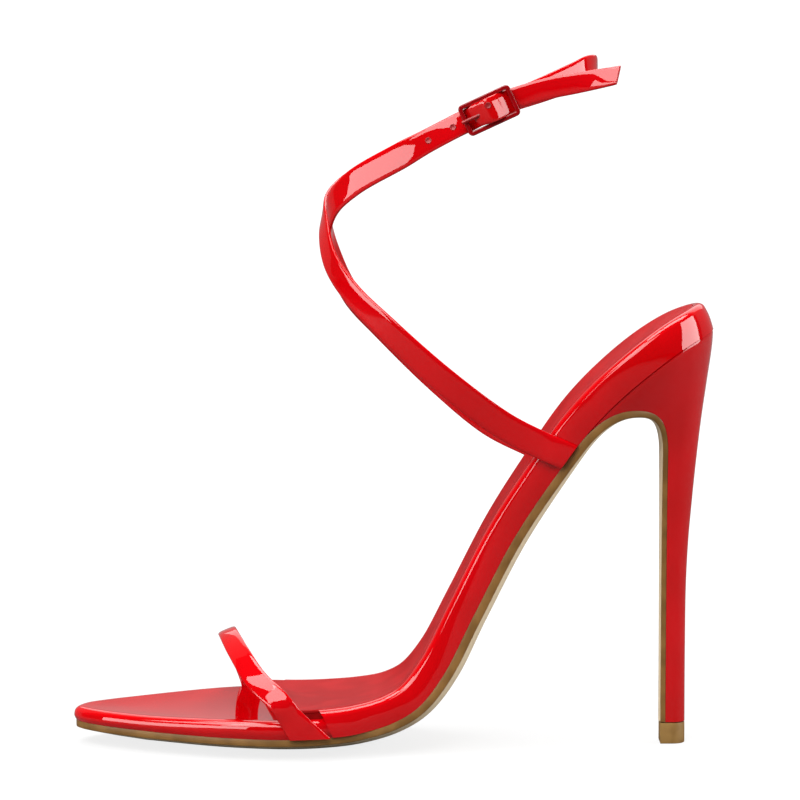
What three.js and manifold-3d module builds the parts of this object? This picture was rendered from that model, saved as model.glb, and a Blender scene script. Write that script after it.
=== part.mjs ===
// Strappy heeled sandal for the left foot, in millimetres, +Z up.
// +X runs from the toe to the heel and -Y is the outer side of the foot.
// The origin is the centre of the flat spot on which the forefoot stands.
import * as THREE from "three";
import Module from "manifold-3d";

const wasm = await Module();
wasm.setup();

// Driving dimensions
const gap = 0.3; // clearance between pieces that touch
const beyond = 20; // how far a cutting solid reaches past what it cuts
const sole = {
  length: 194.9, // toe tip to the back of the seat, seen from above
  toeAhead: 63.5, // toe tip ahead of the origin
  seatRise: 120.9, // back of the seat above the ball, along the feather line
  ballWidth: 71,
  waistWidth: 36,
  seatWidth: 43,
  toeDrift: 1.5, // the toe tip lies this far towards the big toe
};
const platform = {
  edge: 5.5, // side height of the wrapped platform ahead of the rim
  bulge: 0.7, // how far the side swells past the feather line
  round: 2.0, // radius of its upper edge
  shoulder: 0.6, // flat between the round edge and the hollow
  dish: 0.9, // hollow of its upper face
};
const rim = {
  edge: 8.9, // side height of the wrapped rim behind the toe strap
  width: 2.6,
  recess: 1.2, // depth of the bed that takes the insole
  wallLean: 0.05, // how far the wall of the bed leans in
  dish: 2.2,
  innerFall: 1.2, // how far its inner side drops beside the ball
  startOuter: 12.2, // front end of the rim on each side, behind the origin
  startInner: -1,
  startLean: 6.5, // its front face leans back by this much over its height
};
const insole = {
  thickness: 1.0,
  startOuter: 3, // its front edge, behind the origin, where it meets each side
  startInner: -9.5,
  overhang: 0.65, // how far it stands out over its board ahead of the rim
};
const outsole = {
  edge: 1.9, // height of its painted edge under the forefoot
  shankEdge: 2.3,
  flapEdge: 1.3,
  crown: 4.9, // how far the tread swells below its edge at the ball
  flapCrown: 0.35,
  flat: 0.7, // depth worn off the crown, which leaves the flat spot
  bevel: 0.3,
};
const heel = {
  setIn: 8, // back of the heel's foot ahead of the back of the seat
  footLength: 6.1, // front to back at the foot, without the outsole's flap
  footWidth: 8,
  throatDrop: 7.4, // height of the heel block over the crest of the throat
  throatReach: 27.3, // from the breast to where the outsole leaves the shank
  seatLap: 0.5, // the block starts this far above the feather line and is cut off there
};
const topPiece = {
  height: 6.4,
};
const strap = {
  thickness: 1.3,
  ease: 0.45, // bevel along its edges, as a share of half the thickness
  width: 8.4, // at its foot
  tongueWidth: 6.4,
  reach: 100, // along the foot, unit of the table of points
  spread: 25, // half the width of the ankle loop
  rise: 112, // from the shank's rim to the top of the loop
  innerAhead: 4, // the inner foot lies this far ahead of the outer one
  station: 0.762, // where on the sole it is lasted in, as a share of the length
  tuck: 0.5, // how far its foot is let into the side of the sole
  hole: 1.6, // diameter of the punched holes
};
const toeStrap = {
  thickness: 1.3,
  width: 6.6,
  rise: 28, // crest above the feather line
  outerFoot: 9, // place of each foot, behind the origin
  innerFoot: -9.5,
  lean: 17, // how far the crest lies ahead of the feet
};
const buckle = {
  length: 16.8,
  width: 9.9,
  bar: 1.4,
  thickness: 1.5,
  barRadius: 0.6, // the centre bar under the strap
  slope: 24.8, // degrees that it rises towards the heel
  yaw: 3, // degrees that it turns outwards towards the heel
  sleeve: 0.8, // thickness of the strap's end, folded round the centre bar
  bevel: 0.3,
  corner: 0.7,
};
const prong = {
  width: 1.2,
  radius: 0.5,
  loop: 0.6, // thickness of its loop round the centre bar
};

// The side view of the feather line, where the wrapped sole meets the outsole.
// Rows are shares of the length and of the rise of the seat.
const profileRows = [
  { run: 0, rise: 0.004 },
  { run: 0.12, rise: 0.002 },
  { run: 0.274, rise: 0 },
  { run: 0.387, rise: 0.002 },
  { run: 0.449, rise: 0.011 },
  { run: 0.5, rise: 0.031 },
  { run: 0.539, rise: 0.067 },
  { run: 0.577, rise: 0.143 },
  { run: 0.624, rise: 0.29 },
  { run: 0.687, rise: 0.486 },
  { run: 0.752, rise: 0.645 },
  { run: 0.814, rise: 0.776 },
  { run: 0.881, rise: 0.879 },
  { run: 0.947, rise: 0.957 },
  { run: 1, rise: 1 },
];

// The outline of the feather line: a place as a share of its length, and the breadth
// to the outer and inner side as shares of the named width. Slices lead to the next row.
const outlineRows = [
  { at: 0, of: "ballWidth", outer: 0, inner: 0, slices: 2 },
  { at: 0.009, of: "ballWidth", outer: 0.078, inner: 0.1, slices: 2 },
  { at: 0.033, of: "ballWidth", outer: 0.16, inner: 0.188, slices: 2 },
  { at: 0.059, of: "ballWidth", outer: 0.223, inner: 0.262, slices: 2 },
  { at: 0.107, of: "ballWidth", outer: 0.32, inner: 0.372, slices: 3 },
  { at: 0.18, of: "ballWidth", outer: 0.424, inner: 0.483, slices: 2 },
  { at: 0.25, of: "ballWidth", outer: 0.477, inner: 0.52, slices: 3 },
  { at: 0.32, of: "ballWidth", outer: 0.444, inner: 0.49, slices: 5 },
  { at: 0.394, of: "ballWidth", outer: 0.352, inner: 0.394, slices: 6 },
  { at: 0.487, of: "waistWidth", outer: 0.556, inner: 0.57, slices: 4 },
  { at: 0.603, of: "waistWidth", outer: 0.5, inner: 0.467, slices: 3 },
  { at: 0.733, of: "waistWidth", outer: 0.517, inner: 0.506, slices: 3 },
  { at: 0.836, of: "seatWidth", outer: 0.479, inner: 0.498, slices: 2 },
  { at: 0.915, of: "seatWidth", outer: 0.49, inner: 0.512, slices: 3 },
  { at: 0.966, of: "seatWidth", outer: 0.377, inner: 0.395, slices: 2 },
  { at: 0.991, of: "seatWidth", outer: 0.2, inner: 0.21, slices: 2 },
  { at: 1, of: "seatWidth", outer: 0, inner: 0, slices: 0 },
];

// Heights along the sole, as shares: of the edge of the platform and of the rim, of the
// rim's fall on the inner side, and of the crown and the dish.
const heightRows = [
  { at: 0, fore: 0.76, rear: 1, fall: 1, crown: 0.5, dish: 0.3 },
  { at: 0.087, fore: 0.8, rear: 1, fall: 1, crown: 0.66, dish: 0.6 },
  { at: 0.18, fore: 0.95, rear: 1, fall: 1, crown: 0.93, dish: 0.8 },
  { at: 0.26, fore: 1, rear: 0.94, fall: 1, crown: 1, dish: 0.8 },
  { at: 0.35, fore: 1, rear: 0.93, fall: 0.45, crown: 0.96, dish: 0.7 },
  { at: 0.43, fore: 1, rear: 0.92, fall: 0, crown: 0.72, dish: 0.5 },
  { at: 0.53, fore: 1, rear: 0.91, fall: 0, crown: 0.54, dish: 0.4 },
  { at: 0.7, fore: 1, rear: 0.94, fall: 0, crown: 0.52, dish: 0.6 },
  { at: 0.8, fore: 1, rear: 1, fall: 0, crown: 0.42, dish: 0.9 },
  { at: 0.93, fore: 1, rear: 1.04, fall: 0, crown: 0.36, dish: 1 },
  { at: 1, fore: 1, rear: 1.04, fall: 0, crown: 0.3, dish: 1 },
];
const innerCrown = 0.78; // the crown under the wrapped sole, as a share of the tread's

// How the heel narrows from the seat to its foot, as shares: drop of its height, depth
// of the step back, and breadth of the step in.
const heelRows = [
  { at: 0, depth: 1, breadth: 1 },
  { at: 0.045, depth: 0.95, breadth: 0.88 },
  { at: 0.13, depth: 0.77, breadth: 0.62 },
  { at: 0.23, depth: 0.56, breadth: 0.39 },
  { at: 0.335, depth: 0.38, breadth: 0.23 },
  { at: 0.437, depth: 0.23, breadth: 0.13 },
  { at: 0.54, depth: 0.1, breadth: 0.07 },
  { at: 0.66, depth: 0.02, breadth: 0.03 },
  { at: 0.83, depth: 0, breadth: 0.01 },
  { at: 1, depth: 0, breadth: 0 },
];

// A smooth curve through one column of a table, read at a share of the way
function column(rows, name) {
  const slope = (i) => {
    const before = rows[Math.max(i - 1, 0)];
    const after = rows[Math.min(i + 1, rows.length - 1)];
    return (after[name] - before[name]) / (after.at - before.at);
  };
  return (at) => {
    let i = 0;
    while (i < rows.length - 2 && at > rows[i + 1].at) i += 1;
    const step = rows[i + 1].at - rows[i].at;
    const t = THREE.MathUtils.clamp((at - rows[i].at) / step, 0, 1);
    const fall = 2 * t ** 3 - 3 * t ** 2 + 1;
    const lead = (t ** 3 - 2 * t ** 2 + t) * step * slope(i);
    const trail = (t ** 3 - t ** 2) * step * slope(i + 1);
    return rows[i][name] * fall + lead + rows[i + 1][name] * (1 - fall) + trail;
  };
}

const foreShare = column(heightRows, "fore");
const rearShare = column(heightRows, "rear");
const fallShare = column(heightRows, "fall");
const crownShare = column(heightRows, "crown");
const dishShare = column(heightRows, "dish");
const depthShare = column(heelRows, "depth");
const breadthShare = column(heelRows, "breadth");

// The feather line in the side view
const featherHeight = gap + outsole.edge + outsole.crown - outsole.flat;
const profile = new THREE.CatmullRomCurve3(
  profileRows.map(({ run, rise }) => new THREE.Vector3(
    run * sole.length - sole.toeAhead, 0, featherHeight + rise * sole.seatRise)),
  false,
  "centripetal",
);
profile.arcLengthDivisions = 800;
const soleLength = profile.getLength();
const seatBack = sole.length - sole.toeAhead;

// A point at a distance along the feather line, off the middle of the foot by y and above
// the line by h, square to it
function onSole(s, y, h) {
  const u = THREE.MathUtils.clamp(s / soleLength, 0, 1);
  const point = profile.getPointAt(u);
  const along = profile.getTangentAt(u);
  point.addScaledVector(along, s - u * soleLength);
  return new THREE.Vector3(point.x - along.z * h, y, point.z + along.x * h);
}

// Distance along the feather line at which it passes a given x
function soleAtX(x) {
  let low = 0;
  let high = soleLength;
  for (let i = 0; i < 30; i += 1) {
    const middle = (low + high) / 2;
    if (onSole(middle, 0, 0).x < x) low = middle;
    else high = middle;
  }
  return low;
}

// Both sides of the outline as one closed curve whose x is the distance along the sole,
// y the outer side and z the inner side. The way back has the sides swapped, so that both
// tips come out round.
const outlineLoop = (() => {
  const drift = (at) => sole.toeDrift * Math.max(0, 1 - at / 0.25);
  const out = outlineRows.map(({ at, of, outer, inner }) => new THREE.Vector3(
    at * soleLength, drift(at) - outer * sole[of], drift(at) + inner * sole[of]));
  const back = out.slice(1, -1).reverse().map((p) => new THREE.Vector3(p.x, p.z, p.y));
  return new THREE.CatmullRomCurve3([...out, ...back], true, "centripetal");
})();

function outlineStation(row) {
  const { x, y, z } = outlineLoop.getPoint(row / (2 * (outlineRows.length - 1)));
  return { s: x, outer: y, inner: z };
}

const soleStations = outlineRows.flatMap((row, i) => {
  if (!row.slices) return [outlineStation(i)];
  return Array.from({ length: row.slices }, (_, k) => outlineStation(i + k / row.slices));
});

// Breadth of the outline at a distance along the sole
function breadthAt(s) {
  let low = 0;
  let high = outlineRows.length - 1;
  for (let i = 0; i < 30; i += 1) {
    const middle = (low + high) / 2;
    if (outlineStation(middle).s < s) low = middle;
    else high = middle;
  }
  return outlineStation(low);
}

// A solid from points and triangles, with equal points joined and flat triangles dropped
function solidOf(points, triangles) {
  const places = new Map();
  const vertices = [];
  const joined = points.map((p) => {
    const key = [p.x, p.y, p.z].map((v) => Math.round(v * 1e4)).join();
    if (!places.has(key)) {
      places.set(key, places.size);
      vertices.push(p.x, p.y, p.z);
    }
    return places.get(key);
  });
  const kept = triangles
    .map((t) => t.map((i) => joined[i]))
    .filter(([a, b, c]) => a !== b && b !== c && c !== a);
  const build = (faces) => new wasm.Manifold(new wasm.Mesh({
    numProp: 3,
    vertProperties: new Float32Array(vertices),
    triVerts: new Uint32Array(faces.flat()),
  }));
  const made = build(kept);
  return made.volume() < 0 ? build(kept.map(([a, b, c]) => [a, c, b])) : made;
}

// The triangles between neighbouring rings of equally many points
function ringTriangles(rings) {
  const count = rings[0].length;
  return rings.slice(1).flatMap((_, r) => rings[r].flatMap((__, i) => {
    const a = r * count + i;
    const b = r * count + ((i + 1) % count);
    return [[a, b, b + count], [a, b + count, a + count]];
  }));
}

// A solid through rings of equally many points, with its two ends fanned shut
function loft(rings) {
  const count = rings[0].length;
  const middleOf = (ring) => ring
    .reduce((sum, p) => sum.add(p), new THREE.Vector3())
    .divideScalar(count);
  const first = rings.length * count;
  const top = first - count;
  const ends = rings[0].flatMap((_, i) => {
    const next = (i + 1) % count;
    return [[first, next, i], [first + 1, top + i, top + next]];
  });
  return solidOf(
    [...rings.flat(), middleOf(rings[0]), middleOf(rings[rings.length - 1])],
    [...ringTriangles(rings), ...ends]);
}

// A solid whose six sides join eight corners, in order of x, then y, then z
function hexahedron(corners) {
  const sides = [
    [0, 2, 3, 1], [4, 5, 7, 6], [0, 1, 5, 4], [2, 6, 7, 3], [0, 4, 6, 2], [1, 3, 7, 5],
  ];
  return solidOf(corners, sides.flatMap(([a, b, c, d]) => [[a, b, c], [a, c, d]]));
}

// A box between a low and a high corner, which serves as a cutter
function boxSolid(low, high, matrix = new THREE.Matrix4()) {
  return hexahedron(Array.from({ length: 8 }, (_, i) => new THREE.Vector3(
    i & 1 ? high[0] : low[0],
    i & 2 ? high[1] : low[1],
    i & 4 ? high[2] : low[2]).applyMatrix4(matrix)));
}

// A solid through rings that shrink onto a middle line at both ends, as the layers of a
// sole do. Each layer has an inset from the outline, a share of the way out from the
// middle line, and a height. A square end keeps its breadth; a round one has tipped over.
function plate(stations, place, layers, tipReach) {
  const last = stations[stations.length - 1];
  const squareEnd = last.inner - last.outer > 1;
  const spineEnd = squareEnd ? last.s : last.s - tipReach;
  const outer = stations.map((q) => ({ s: q.s, y: q.outer, middle: (q.outer + q.inner) / 2 }));
  const inner = stations.map((q) => ({ s: q.s, y: q.inner, middle: (q.outer + q.inner) / 2 }));
  const edge = [...outer, ...inner.slice(1, squareEnd ? undefined : -1).reverse()];
  const middleAt = (s) => {
    const i = stations.findIndex((q) => q.s >= s);
    return i < 0 ? outer[outer.length - 1].middle : outer[i].middle;
  };
  const outline = edge.map((p, i) => {
    const before = edge[(i + edge.length - 1) % edge.length];
    const after = edge[(i + 1) % edge.length];
    const inward = new THREE.Vector2(before.y - after.y, after.s - before.s).normalize();
    const spine = THREE.MathUtils.clamp(p.s, tipReach, spineEnd);
    return { ...p, inward, spine, centre: spine === p.s ? p.middle : middleAt(spine) };
  });
  const rings = layers.map(({ inset, share, height }) => outline.map((p) => {
    const s = THREE.MathUtils.lerp(p.spine, p.s + p.inward.x * inset, share);
    const y = THREE.MathUtils.lerp(p.centre, p.y + p.inward.y * inset, share);
    return place(s, y, height(s, share, y));
  }));
  return solidOf(rings.flat(), ringTriangles(rings));
}

const tipShare = 0.087; // how far the middle line stays from each tip
const tipReach = tipShare * soleLength;
const dome = (share) => 1 - share ** 2;
const domeShares = [0, 0.45, 0.8, 1]; // where the layers of a crowned face lie

// Heights over the feather line, at a distance along the sole and a place across it
const foreEdge = (s) => platform.edge * foreShare(s / soleLength);
const rearEdge = (s, share, y) => rim.edge * rearShare(s / soleLength)
  - rim.innerFall * fallShare(s / soleLength) * THREE.MathUtils.smoothstep(y / sole.ballWidth, -0.25, 0.4);
const bedAt = (s, share, y) => rearEdge(s, share, y) - rim.recess
  - rim.dish * dishShare(s / soleLength) * dome(share);
const foreTop = (s, share) => foreEdge(s) - platform.dish * dishShare(s / soleLength) * dome(share);
const underside = (s, share) => -innerCrown * outsole.crown * crownShare(s / soleLength) * dome(share);

// Layers of the wrapped sole, from the middle of its underside to its upper edge
function wrappedSide(edgeAt) {
  const swell = -platform.bulge * 0.8;
  const { round } = platform;
  return [
    ...domeShares.map((share) => ({ inset: 0, share, height: underside })),
    { inset: -platform.bulge, share: 1, height: (...at) => (edgeAt(...at) - round) / 2 },
    { inset: swell, share: 1, height: (...at) => edgeAt(...at) - round },
    { inset: swell + round * 0.3, share: 1, height: (...at) => edgeAt(...at) - round * 0.3 },
    { inset: round, share: 1, height: edgeAt },
  ];
}

// Everything ahead of a slanted face across the sole, which passes a place on the outer
// and on the inner side and leans back by a run over a height
function aheadOf({ outerX, innerX, lean, height }) {
  const far = sole.length;
  const face = (y, z) => lean * (1 - z / height)
    + THREE.MathUtils.lerp(outerX, innerX, y / sole.ballWidth + 0.5);
  return hexahedron(Array.from({ length: 8 }, (_, i) => {
    const y = i & 2 ? far : -far;
    const z = i & 4 ? far : -far;
    return new THREE.Vector3(i & 1 ? face(y, z) : -2 * far, y, z);
  }));
}

const edgeTop = featherHeight + rim.edge;
const bedEnd = aheadOf({ outerX: insole.startOuter, innerX: insole.startInner, lean: 0, height: edgeTop });

function wrappedSole() {
  const foreInset = platform.round + platform.shoulder;
  const fore = plate(soleStations, onSole, [
    ...wrappedSide(foreEdge),
    { inset: foreInset, share: 1, height: foreTop },
    { inset: foreInset, share: 0.6, height: foreTop },
    { inset: foreInset, share: 0, height: foreTop },
  ], tipReach);
  const rear = plate(soleStations, onSole, [
    ...wrappedSide(rearEdge),
    { inset: rim.width, share: 1, height: rearEdge },
    { inset: rim.width + rim.wallLean, share: 1, height: bedAt },
    { inset: rim.width, share: 0.6, height: bedAt },
    { inset: rim.width, share: 0, height: bedAt },
  ], tipReach);
  const board = rim.width + gap + insole.overhang;
  const boardColumn = plate(soleStations, onSole, [
    { inset: board, share: 0, height: () => platform.edge / 2 },
    { inset: board, share: 1, height: () => platform.edge / 2 },
    { inset: board, share: 1, height: () => rim.edge * 2 },
    { inset: board, share: 0, height: () => rim.edge * 2 },
  ], tipReach);
  const rimEnd = aheadOf({
    outerX: rim.startOuter, innerX: rim.startInner, lean: rim.startLean, height: edgeTop,
  });
  return fore.add(rear.subtract(rimEnd.subtract(boardColumn)).subtract(bedEnd));
}

function insoleSheet() {
  const inset = rim.width + rim.wallLean + gap;
  const floorAt = (...at) => bedAt(...at) + gap;
  const topAt = (...at) => floorAt(...at) + insole.thickness;
  const shares = [0, 0.6, 1];
  return plate(soleStations, onSole, [
    ...shares.map((share) => ({ inset, share, height: floorAt })),
    ...shares.reverse().map((share) => ({ inset, share, height: topAt })),
  ], tipReach).subtract(bedEnd);
}

// The heel's places in the side view
const footBack = seatBack - heel.setIn;
const breast = footBack - heel.footLength;
const footTop = topPiece.height + gap;
const leave = soleAtX(breast - heel.throatReach);

// Half breadth of the heel on one side, at a place in the side view
function heelBreadth(x, z, side) {
  const s = soleAtX(x);
  const seat = onSole(s, 0, 0);
  const drop = THREE.MathUtils.clamp((seat.z - z) / (seat.z - footTop), 0, 1);
  const wide = Math.abs(breadthAt(s)[side]);
  return THREE.MathUtils.lerp(heel.footWidth / 2, wide, breadthShare(drop));
}

// The throat in the side view: the line of the heel's lower front, from the shank over the
// crest and down the breast. Reaches and radii are shares.
const throatShares = { lead: 0.24, crest: 0.4, before: 0.62, after: 0.7, turn: 0.3, breast: 1.3 };
const throat = (() => {
  const start = onSole(leave, 0, 0);
  const along = profile.getTangentAt(leave / soleLength);
  const radius = heel.throatReach * throatShares.crest;
  const crestX = breast - radius;
  const crestZ = onSole(soleAtX(crestX), 0, 0).z - heel.throatDrop;
  const at = (x, z) => new THREE.Vector3(x, 0, z);
  const path = new THREE.CurvePath();
  path.add(new THREE.CubicBezierCurve3(
    start,
    start.clone().addScaledVector(along, heel.throatReach * throatShares.lead),
    at(crestX - radius * throatShares.before, crestZ),
    at(crestX, crestZ)));
  path.add(new THREE.CubicBezierCurve3(
    at(crestX, crestZ),
    at(crestX + radius * throatShares.after, crestZ),
    at(breast, crestZ - radius * throatShares.turn),
    at(breast, crestZ - radius * throatShares.breast)));
  path.add(new THREE.LineCurve3(
    at(breast, crestZ - radius * throatShares.breast), at(breast, footTop)));
  return path;
})();
const throatLength = throat.getLength();
const throatTop = throat.curves.slice(0, 2).reduce((sum, c) => sum + c.getLength(), 0);

// A point on the tread's track, which leaves the shank for the throat and the breast
function onTrack(s, y, h) {
  if (s <= leave) return onSole(s, y, h);
  const u = THREE.MathUtils.clamp((s - leave) / throatLength, 0, 1);
  const point = throat.getPoint(u);
  const before = throat.getPoint(Math.max(u - 1e-3, 0));
  const along = throat.getPoint(Math.min(u + 1e-3, 1)).sub(before).normalize();
  return new THREE.Vector3(point.x - along.z * h, y, point.z + along.x * h);
}

const trackStations = (() => {
  const shank = soleStations.filter((q) => q.s < leave - 2);
  const bend = [0, 0.08, 0.17, 0.27, 0.37, 0.46, 0.54, 0.61, 0.68, 0.75, 0.82, 0.89, 0.95, 1]
    .map((share) => leave + share * throatTop);
  const down = [0.12, 0.25, 0.4, 0.6, 0.8, 1]
    .map((share) => leave + throatTop + share * (throatLength - throatTop));
  const flap = [...bend, ...down].map((s) => {
    const { x, z } = onTrack(s, 0, 0);
    return { s, outer: -heelBreadth(x, z, "outer"), inner: heelBreadth(x, z, "inner") };
  });
  return [...shank, ...flap];
})();

function outsoleSheet() {
  const along = (s) => THREE.MathUtils.smoothstep(s, leave, leave + throatTop);
  const edgeAt = (s) => {
    const shank = THREE.MathUtils.lerp(
      outsole.edge, outsole.shankEdge, THREE.MathUtils.smoothstep(s / soleLength, 0.35, 0.5));
    return THREE.MathUtils.lerp(shank, outsole.flapEdge, along(s));
  };
  const crownAt = (s) => THREE.MathUtils.lerp(
    outsole.crown * crownShare(Math.min(s, leave) / soleLength), outsole.flapCrown, along(s));
  const topCrown = (s) => THREE.MathUtils.lerp(innerCrown * crownAt(s), 0, along(s));
  const top = (s, share) => -gap - topCrown(s) * dome(share);
  const tread = (s, share) => -gap - edgeAt(s) - crownAt(s) * dome(share);
  const treadShares = [1, 0.85, 0.6, 0.3, 0];
  const ground = boxSolid([-sole.length, -sole.ballWidth, -beyond], [sole.length, sole.ballWidth, 0]);
  return plate(trackStations, onTrack, [
    ...domeShares.map((share) => ({ inset: 0, share, height: top })),
    ...treadShares.map((share) => ({ inset: outsole.bevel, share, height: tread })),
  ], tipReach).subtract(ground);
}

// The heel: rings from the seat's outline down to its foot, cut by the sole above and by
// the line of the throat in front
function heelBlock() {
  const front = leave - 2 * gap - outsole.shankEdge;
  const stations = [breadthAt(front), ...soleStations.filter((q) => q.s > front + 1)];
  const edge = [
    ...stations.map((q) => ({ s: q.s, y: q.outer })),
    ...stations.slice(0, -1).reverse().map((q) => ({ s: q.s, y: q.inner })),
  ];
  const halfFoot = heel.footWidth / 2;
  const roundFrom = footBack - halfFoot;
  const between = heelRows.slice(0, 6).map(({ at }, i) => (at + heelRows[i + 1].at) / 2);
  const drops = [...heelRows.map(({ at }) => at), ...between].sort((a, b) => a - b);
  const body = loft(drops.map((drop) => edge.map(({ s, y }) => {
    const seat = onSole(s, y, heel.seatLap);
    const past = Math.max(0, (seat.x - breast) / (seatBack - breast));
    const footX = past ? breast + past * heel.footLength : seat.x;
    const round = THREE.MathUtils.clamp((footX - roundFrom) / halfFoot, 0, 1);
    const footY = Math.sign(y) * halfFoot * Math.sqrt(1 - round ** 2);
    return new THREE.Vector3(
      THREE.MathUtils.lerp(footX, seat.x, depthShare(drop)),
      THREE.MathUtils.lerp(footY, y, breadthShare(drop)),
      THREE.MathUtils.lerp(seat.z, footTop, drop));
  })));
  const over = heel.seatLap + rim.edge;
  const wide = -rim.width;
  const aboveSeat = plate(soleStations, onSole, [
    ...domeShares.map((share) => ({ inset: 0, share, height: (...at) => underside(...at) - gap })),
    { inset: wide, share: 1, height: () => -gap },
    { inset: wide, share: 1, height: () => over },
    { inset: 0, share: 0, height: () => over },
  ], tipReach);
  const line = new THREE.Shape();
  const bendSteps = 40;
  const roof = featherHeight + sole.seatRise + beyond;
  const bend = Array.from(
    { length: bendSteps }, (_, i) => throat.getPoint((throatTop / throatLength) * ((i + 1) / bendSteps)));
  line.moveTo(bend[0].x, roof);
  bend.forEach((p) => line.lineTo(p.x, p.z));
  line.lineTo(breast, 0);
  line.lineTo(seatBack + beyond, 0);
  line.lineTo(seatBack + beyond, roof);
  const side = new THREE.ExtrudeGeometry(line, { depth: 2 * sole.seatWidth, bevelEnabled: false });
  side.rotateX(Math.PI / 2);
  side.translate(0, sole.seatWidth, 0);
  return body.subtract(aboveSeat).intersect(fromGeometry(side));
}

// A solid from one of the standard closed geometries
function fromGeometry(geometry) {
  const flat = geometry.index ? geometry.toNonIndexed() : geometry;
  const place = flat.getAttribute("position");
  const points = Array.from(
    { length: place.count }, (_, i) => new THREE.Vector3().fromBufferAttribute(place, i));
  const triangles = Array.from(
    { length: place.count / 3 }, (_, i) => [3 * i, 3 * i + 1, 3 * i + 2]);
  return solidOf(points, triangles);
}

function footPiece() {
  const half = heel.footWidth / 2;
  const front = breast - gap - outsole.flapEdge;
  const shape = new THREE.Shape();
  shape.moveTo(front, -half);
  shape.lineTo(footBack - half, -half);
  shape.absarc(footBack - half, 0, half, -Math.PI / 2, Math.PI / 2);
  shape.lineTo(front, half);
  return fromGeometry(new THREE.ExtrudeGeometry(shape, {
    depth: topPiece.height, bevelEnabled: false, curveSegments: 10,
  }));
}

// A strap: a flat band with eased edges along points, facing the given normals
function band(rows, slices, thickness, grow = 0) {
  const curve = (points) => new THREE.CatmullRomCurve3(points, false, "centripetal");
  const centre = curve(rows.map((r) => r.point));
  const facing = curve(rows.map((r) => r.facing));
  const wide = curve(rows.map((r, i) => new THREE.Vector3(i, r.width, 0)));
  const thick = thickness / 2 + grow;
  const ease = strap.ease * thick;
  const count = (rows.length - 1) * slices;
  const rings = Array.from({ length: count + 1 }, (_, i) => {
    const t = i / count;
    const along = centre.getTangent(t);
    const across = new THREE.Vector3().crossVectors(along, facing.getPoint(t)).normalize();
    const out = new THREE.Vector3().crossVectors(across, along).normalize();
    const reach = wide.getPoint(t).y / 2 + grow;
    const slant = i === count ? rows[rows.length - 1].slant ?? 0 : 0;
    const extra = i === 0 ? -grow : i === count ? grow : 0;
    const section = [
      [-reach, -thick + ease], [-reach, thick - ease],
      [-reach + ease, thick], [reach - ease, thick],
      [reach, thick - ease], [reach, -thick + ease],
      [reach - ease, -thick], [-reach + ease, -thick],
    ];
    return section.map(([w, n]) => centre.getPoint(t)
      .addScaledVector(across, w)
      .addScaledVector(out, n)
      .addScaledVector(along, slant * w + extra));
  });
  return loft(rings);
}

// The direction a strap faces: turned from the outer side round the front of the ankle,
// and tilted up, in degrees
function facing(turn, tilt) {
  const a = THREE.MathUtils.degToRad(turn);
  const b = THREE.MathUtils.degToRad(tilt);
  return new THREE.Vector3(-Math.sin(a) * Math.cos(b), -Math.cos(a) * Math.cos(b), Math.sin(b));
}

// Where the ankle straps are lasted in on each side of the shank
const strapS = strap.station * soleLength;
function strapFoot(side, s, h, out) {
  const wall = breadthAt(s)[side];
  const sign = Math.sign(wall);
  return onSole(s, wall + sign * out, h);
}
const rimHeight = rim.edge * rearShare(strap.station);
const strapOut = platform.bulge + gap + strap.thickness / 2;
const knee = onSole(strapS, 0, rimHeight);

// The foot of an ankle strap: how far back it lies, its share of the rim's height, and how
// far it stands off the wall. It starts below the feather line and is trimmed there.
const strapFootPlaces = [
  { back: 2.2, rise: -0.4, out: strap.thickness / 2 - strap.tuck },
  { back: 0.8, rise: 0.45, out: strapOut },
  { back: -0.3, rise: 1.06, out: strapOut + gap },
];

// A point of the ankle straps, in shares of their reach, spread and rise from the rim
function anklePoint([x, y, z]) {
  return new THREE.Vector3(knee.x + x * strap.reach, y * strap.spread, knee.z + z * strap.rise);
}

// The buckle's own frame: along the strap, across it and out from the ankle
const buckleFrame = (() => {
  const centre = anklePoint([-0.165, -1.0, 0.895]);
  const turn = new THREE.Euler(
    0, -THREE.MathUtils.degToRad(buckle.slope), -THREE.MathUtils.degToRad(buckle.yaw), "ZYX");
  const lie = new THREE.Matrix4().makeRotationFromEuler(turn);
  const upright = new THREE.Matrix4().makeBasis(
    new THREE.Vector3(1, 0, 0), new THREE.Vector3(0, 0, 1), new THREE.Vector3(0, -1, 0));
  return new THREE.Matrix4().makeTranslation(centre).multiply(lie).multiply(upright);
})();
const atBuckle = (u, n, w = 0) => new THREE.Vector3(u, w, n).applyMatrix4(buckleFrame);
const buckleFacing = new THREE.Vector3(0, 0, 1).transformDirection(buckleFrame);

const halfStrap = strap.thickness / 2;
const halfBuckle = buckle.length / 2;
const barInside = halfBuckle - buckle.bar;
const underBar = -(buckle.thickness / 2 + gap + halfStrap);
const sleeveRadius = buckle.barRadius + gap + buckle.sleeve;
const overBar = sleeveRadius + gap + halfStrap;
const secondLayer = underBar - strap.thickness - gap;

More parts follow.
